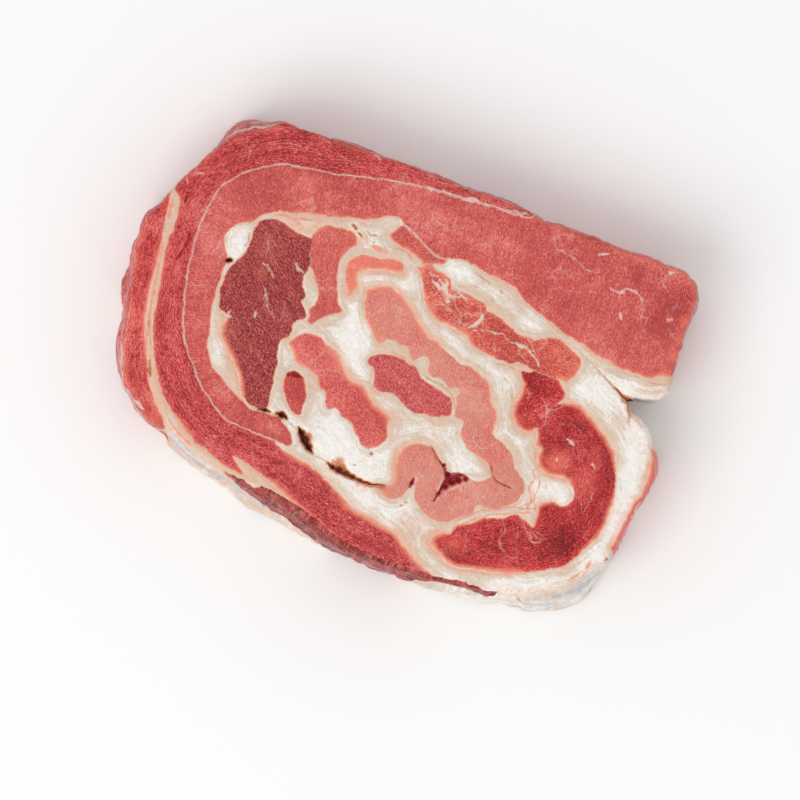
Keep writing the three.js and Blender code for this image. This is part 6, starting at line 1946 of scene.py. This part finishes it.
class BRISKET_OT_fat(bpy.types.Operator):
    """Adds the fat between the muscles and the seam of fat at the left"""

    bl_idname = "brisket.fat"
    bl_label = "Fat"

    def execute(self, context):
        for node, mesh in zip(FATS, portion_of(context).fat()):
            add_piece(context, node, mesh)
        return {"FINISHED"}


# Camera (millimetres and degrees), light (metres, degrees, watts) and floor.
VIEW_CENTRE = (7.85, -11.54)
VIEW_TURN = 20.0
VIEW_FIELD = 336.0
LENS = 300.0
SENSOR = 36.0
CLIP = (0.1, 50.0)
KEY_TURN = (-0.42, -0.91)
KEY_RISE = 52.0
KEY_DISTANCE = 3.4
KEY_SIZE = 2.6
KEY_POWER = 46.0
SKY = 0.79
FLOOR_CLOUDS = 3.0
FLOOR_SHADE = (0.98, 0.98, 0.985)
FLOOR_ROUGHNESS = 0.6
FLOOR_SPECULAR = 0.2


def add_floor(scene):
    reach = scene.brisket_sizes.floor_reach
    mesh = bpy.data.meshes.new("floor")
    corners = [(-reach, -reach, 0), (reach, -reach, 0), (reach, reach, 0), (-reach, reach, 0)]
    mesh.from_pydata(corners, [], [(0, 1, 2, 3)])
    mesh.materials.append(floor_finish(scene.brisket_colours))
    floor = add_object(scene, "floor", mesh)
    floor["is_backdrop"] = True


def add_camera(scene):
    """Camera that looks straight down."""
    camera = add_object(scene, "camera", bpy.data.cameras.new("camera"))
    camera.data.lens = LENS
    camera.data.sensor_width = SENSOR
    camera.data.clip_start, camera.data.clip_end = CLIP
    distance = VIEW_FIELD * LENS / SENSOR
    camera.location = [value * MM for value in (*VIEW_CENTRE, HEIGHT + distance)]
    camera.rotation_euler = (0, 0, math.radians(VIEW_TURN))
    scene.camera = camera


def add_light(scene):
    """Soft key light and an even white sky."""
    light = bpy.data.lights.new("key light", "AREA")
    light.shape = "DISK"
    light.size = KEY_SIZE
    light.energy = KEY_POWER
    key = add_object(scene, "key light", light)
    rise = math.radians(KEY_RISE)
    aim = Vector((KEY_TURN[0] * math.cos(rise), KEY_TURN[1] * math.cos(rise), math.sin(rise)))
    key.location = aim * KEY_DISTANCE
    key.rotation_euler = aim.to_track_quat("Z", "Y").to_euler()
    world = bpy.data.worlds.new("studio")
    world.use_nodes = True
    sky = world.node_tree.nodes["Background"]
    sky.inputs[0].default_value = (1.0, 1.0, 1.0, 1.0)
    sky.inputs[1].default_value = SKY
    scene.world = world


class BRISKET_OT_stage(bpy.types.Operator):
    """Adds the floor, the camera and the soft light"""

    bl_idname = "brisket.stage"
    bl_label = "Floor, camera and light"

    def execute(self, context):
        scene = context.scene
        add_floor(scene)
        add_camera(scene)
        add_light(scene)
        scene.view_settings.view_transform = "Standard"
        scene.view_settings.look = "None"
        return {"FINISHED"}


def floor_finish(colours):
    material = bpy.data.materials.new("studio floor")
    material.use_nodes = True
    tree = material.node_tree
    shader = tree.nodes["Principled BSDF"]
    place = tree.nodes.new("ShaderNodeTexCoord")
    cloud = tree.nodes.new("ShaderNodeTexNoise")
    cloud.inputs["Scale"].default_value = FLOOR_CLOUDS
    tree.links.new(place.outputs["Object"], cloud.inputs["Vector"])
    shade = tree.nodes.new("ShaderNodeMix")
    shade.data_type = "RGBA"
    shade.inputs[6].default_value = (*colours.floor, 1)
    shade.inputs[7].default_value = (*scaled(colours.floor, *FLOOR_SHADE), 1)
    tree.links.new(cloud.outputs[0], shade.inputs[0])
    tree.links.new(shade.outputs[2], shader.inputs["Base Color"])
    shader.inputs["Roughness"].default_value = FLOOR_ROUGHNESS
    shader.inputs["Specular IOR Level"].default_value = FLOOR_SPECULAR
    return material


OPERATORS = (
    BRISKET_OT_stage, BRISKET_OT_wraps, BRISKET_OT_edge_strips, BRISKET_OT_side_lean,
    BRISKET_OT_dark_muscle, BRISKET_OT_marbled_lean, BRISKET_OT_middle_lean,
    BRISKET_OT_right_lean, BRISKET_OT_fat,
)


class BRISKET_PT_panel(bpy.types.Panel):
    """Lists the pieces, the sizes and the colours"""

    bl_idname = "BRISKET_PT_panel"
    bl_label = "Beef brisket"
    bl_space_type = "VIEW_3D"
    bl_region_type = "UI"
    bl_category = "Brisket"

    def draw(self, context):
        layout = self.layout
        for operator in OPERATORS:
            layout.operator(operator.bl_idname)
        for group in (context.scene.brisket_sizes, context.scene.brisket_colours):
            box = layout.box()
            for name in group.bl_rna.properties.keys():
                if name not in ("rna_type", "name"):
                    box.prop(group, name)


CLASSES = (BrisketSizes, BrisketColours, *OPERATORS, BRISKET_PT_panel)


def register():
    for cls in CLASSES:
        bpy.utils.register_class(cls)
    bpy.types.Scene.brisket_sizes = bpy.props.PointerProperty(type=BrisketSizes)
    bpy.types.Scene.brisket_colours = bpy.props.PointerProperty(type=BrisketColours)


def unregister():
    del bpy.types.Scene.brisket_colours
    del bpy.types.Scene.brisket_sizes
    for cls in reversed(CLASSES):
        bpy.utils.unregister_class(cls)


def main():
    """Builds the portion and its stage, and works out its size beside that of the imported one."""
    register()
    for operator in OPERATORS:
        group, name = operator.bl_idname.split(".")
        getattr(getattr(bpy.ops, group), name)()
    boxes = {"cad": CAD_BOX, "visual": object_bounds()}
    boxes = {key: [list(corner) for corner in box] for key, box in boxes.items()}


if __name__ == "__main__":
    main()
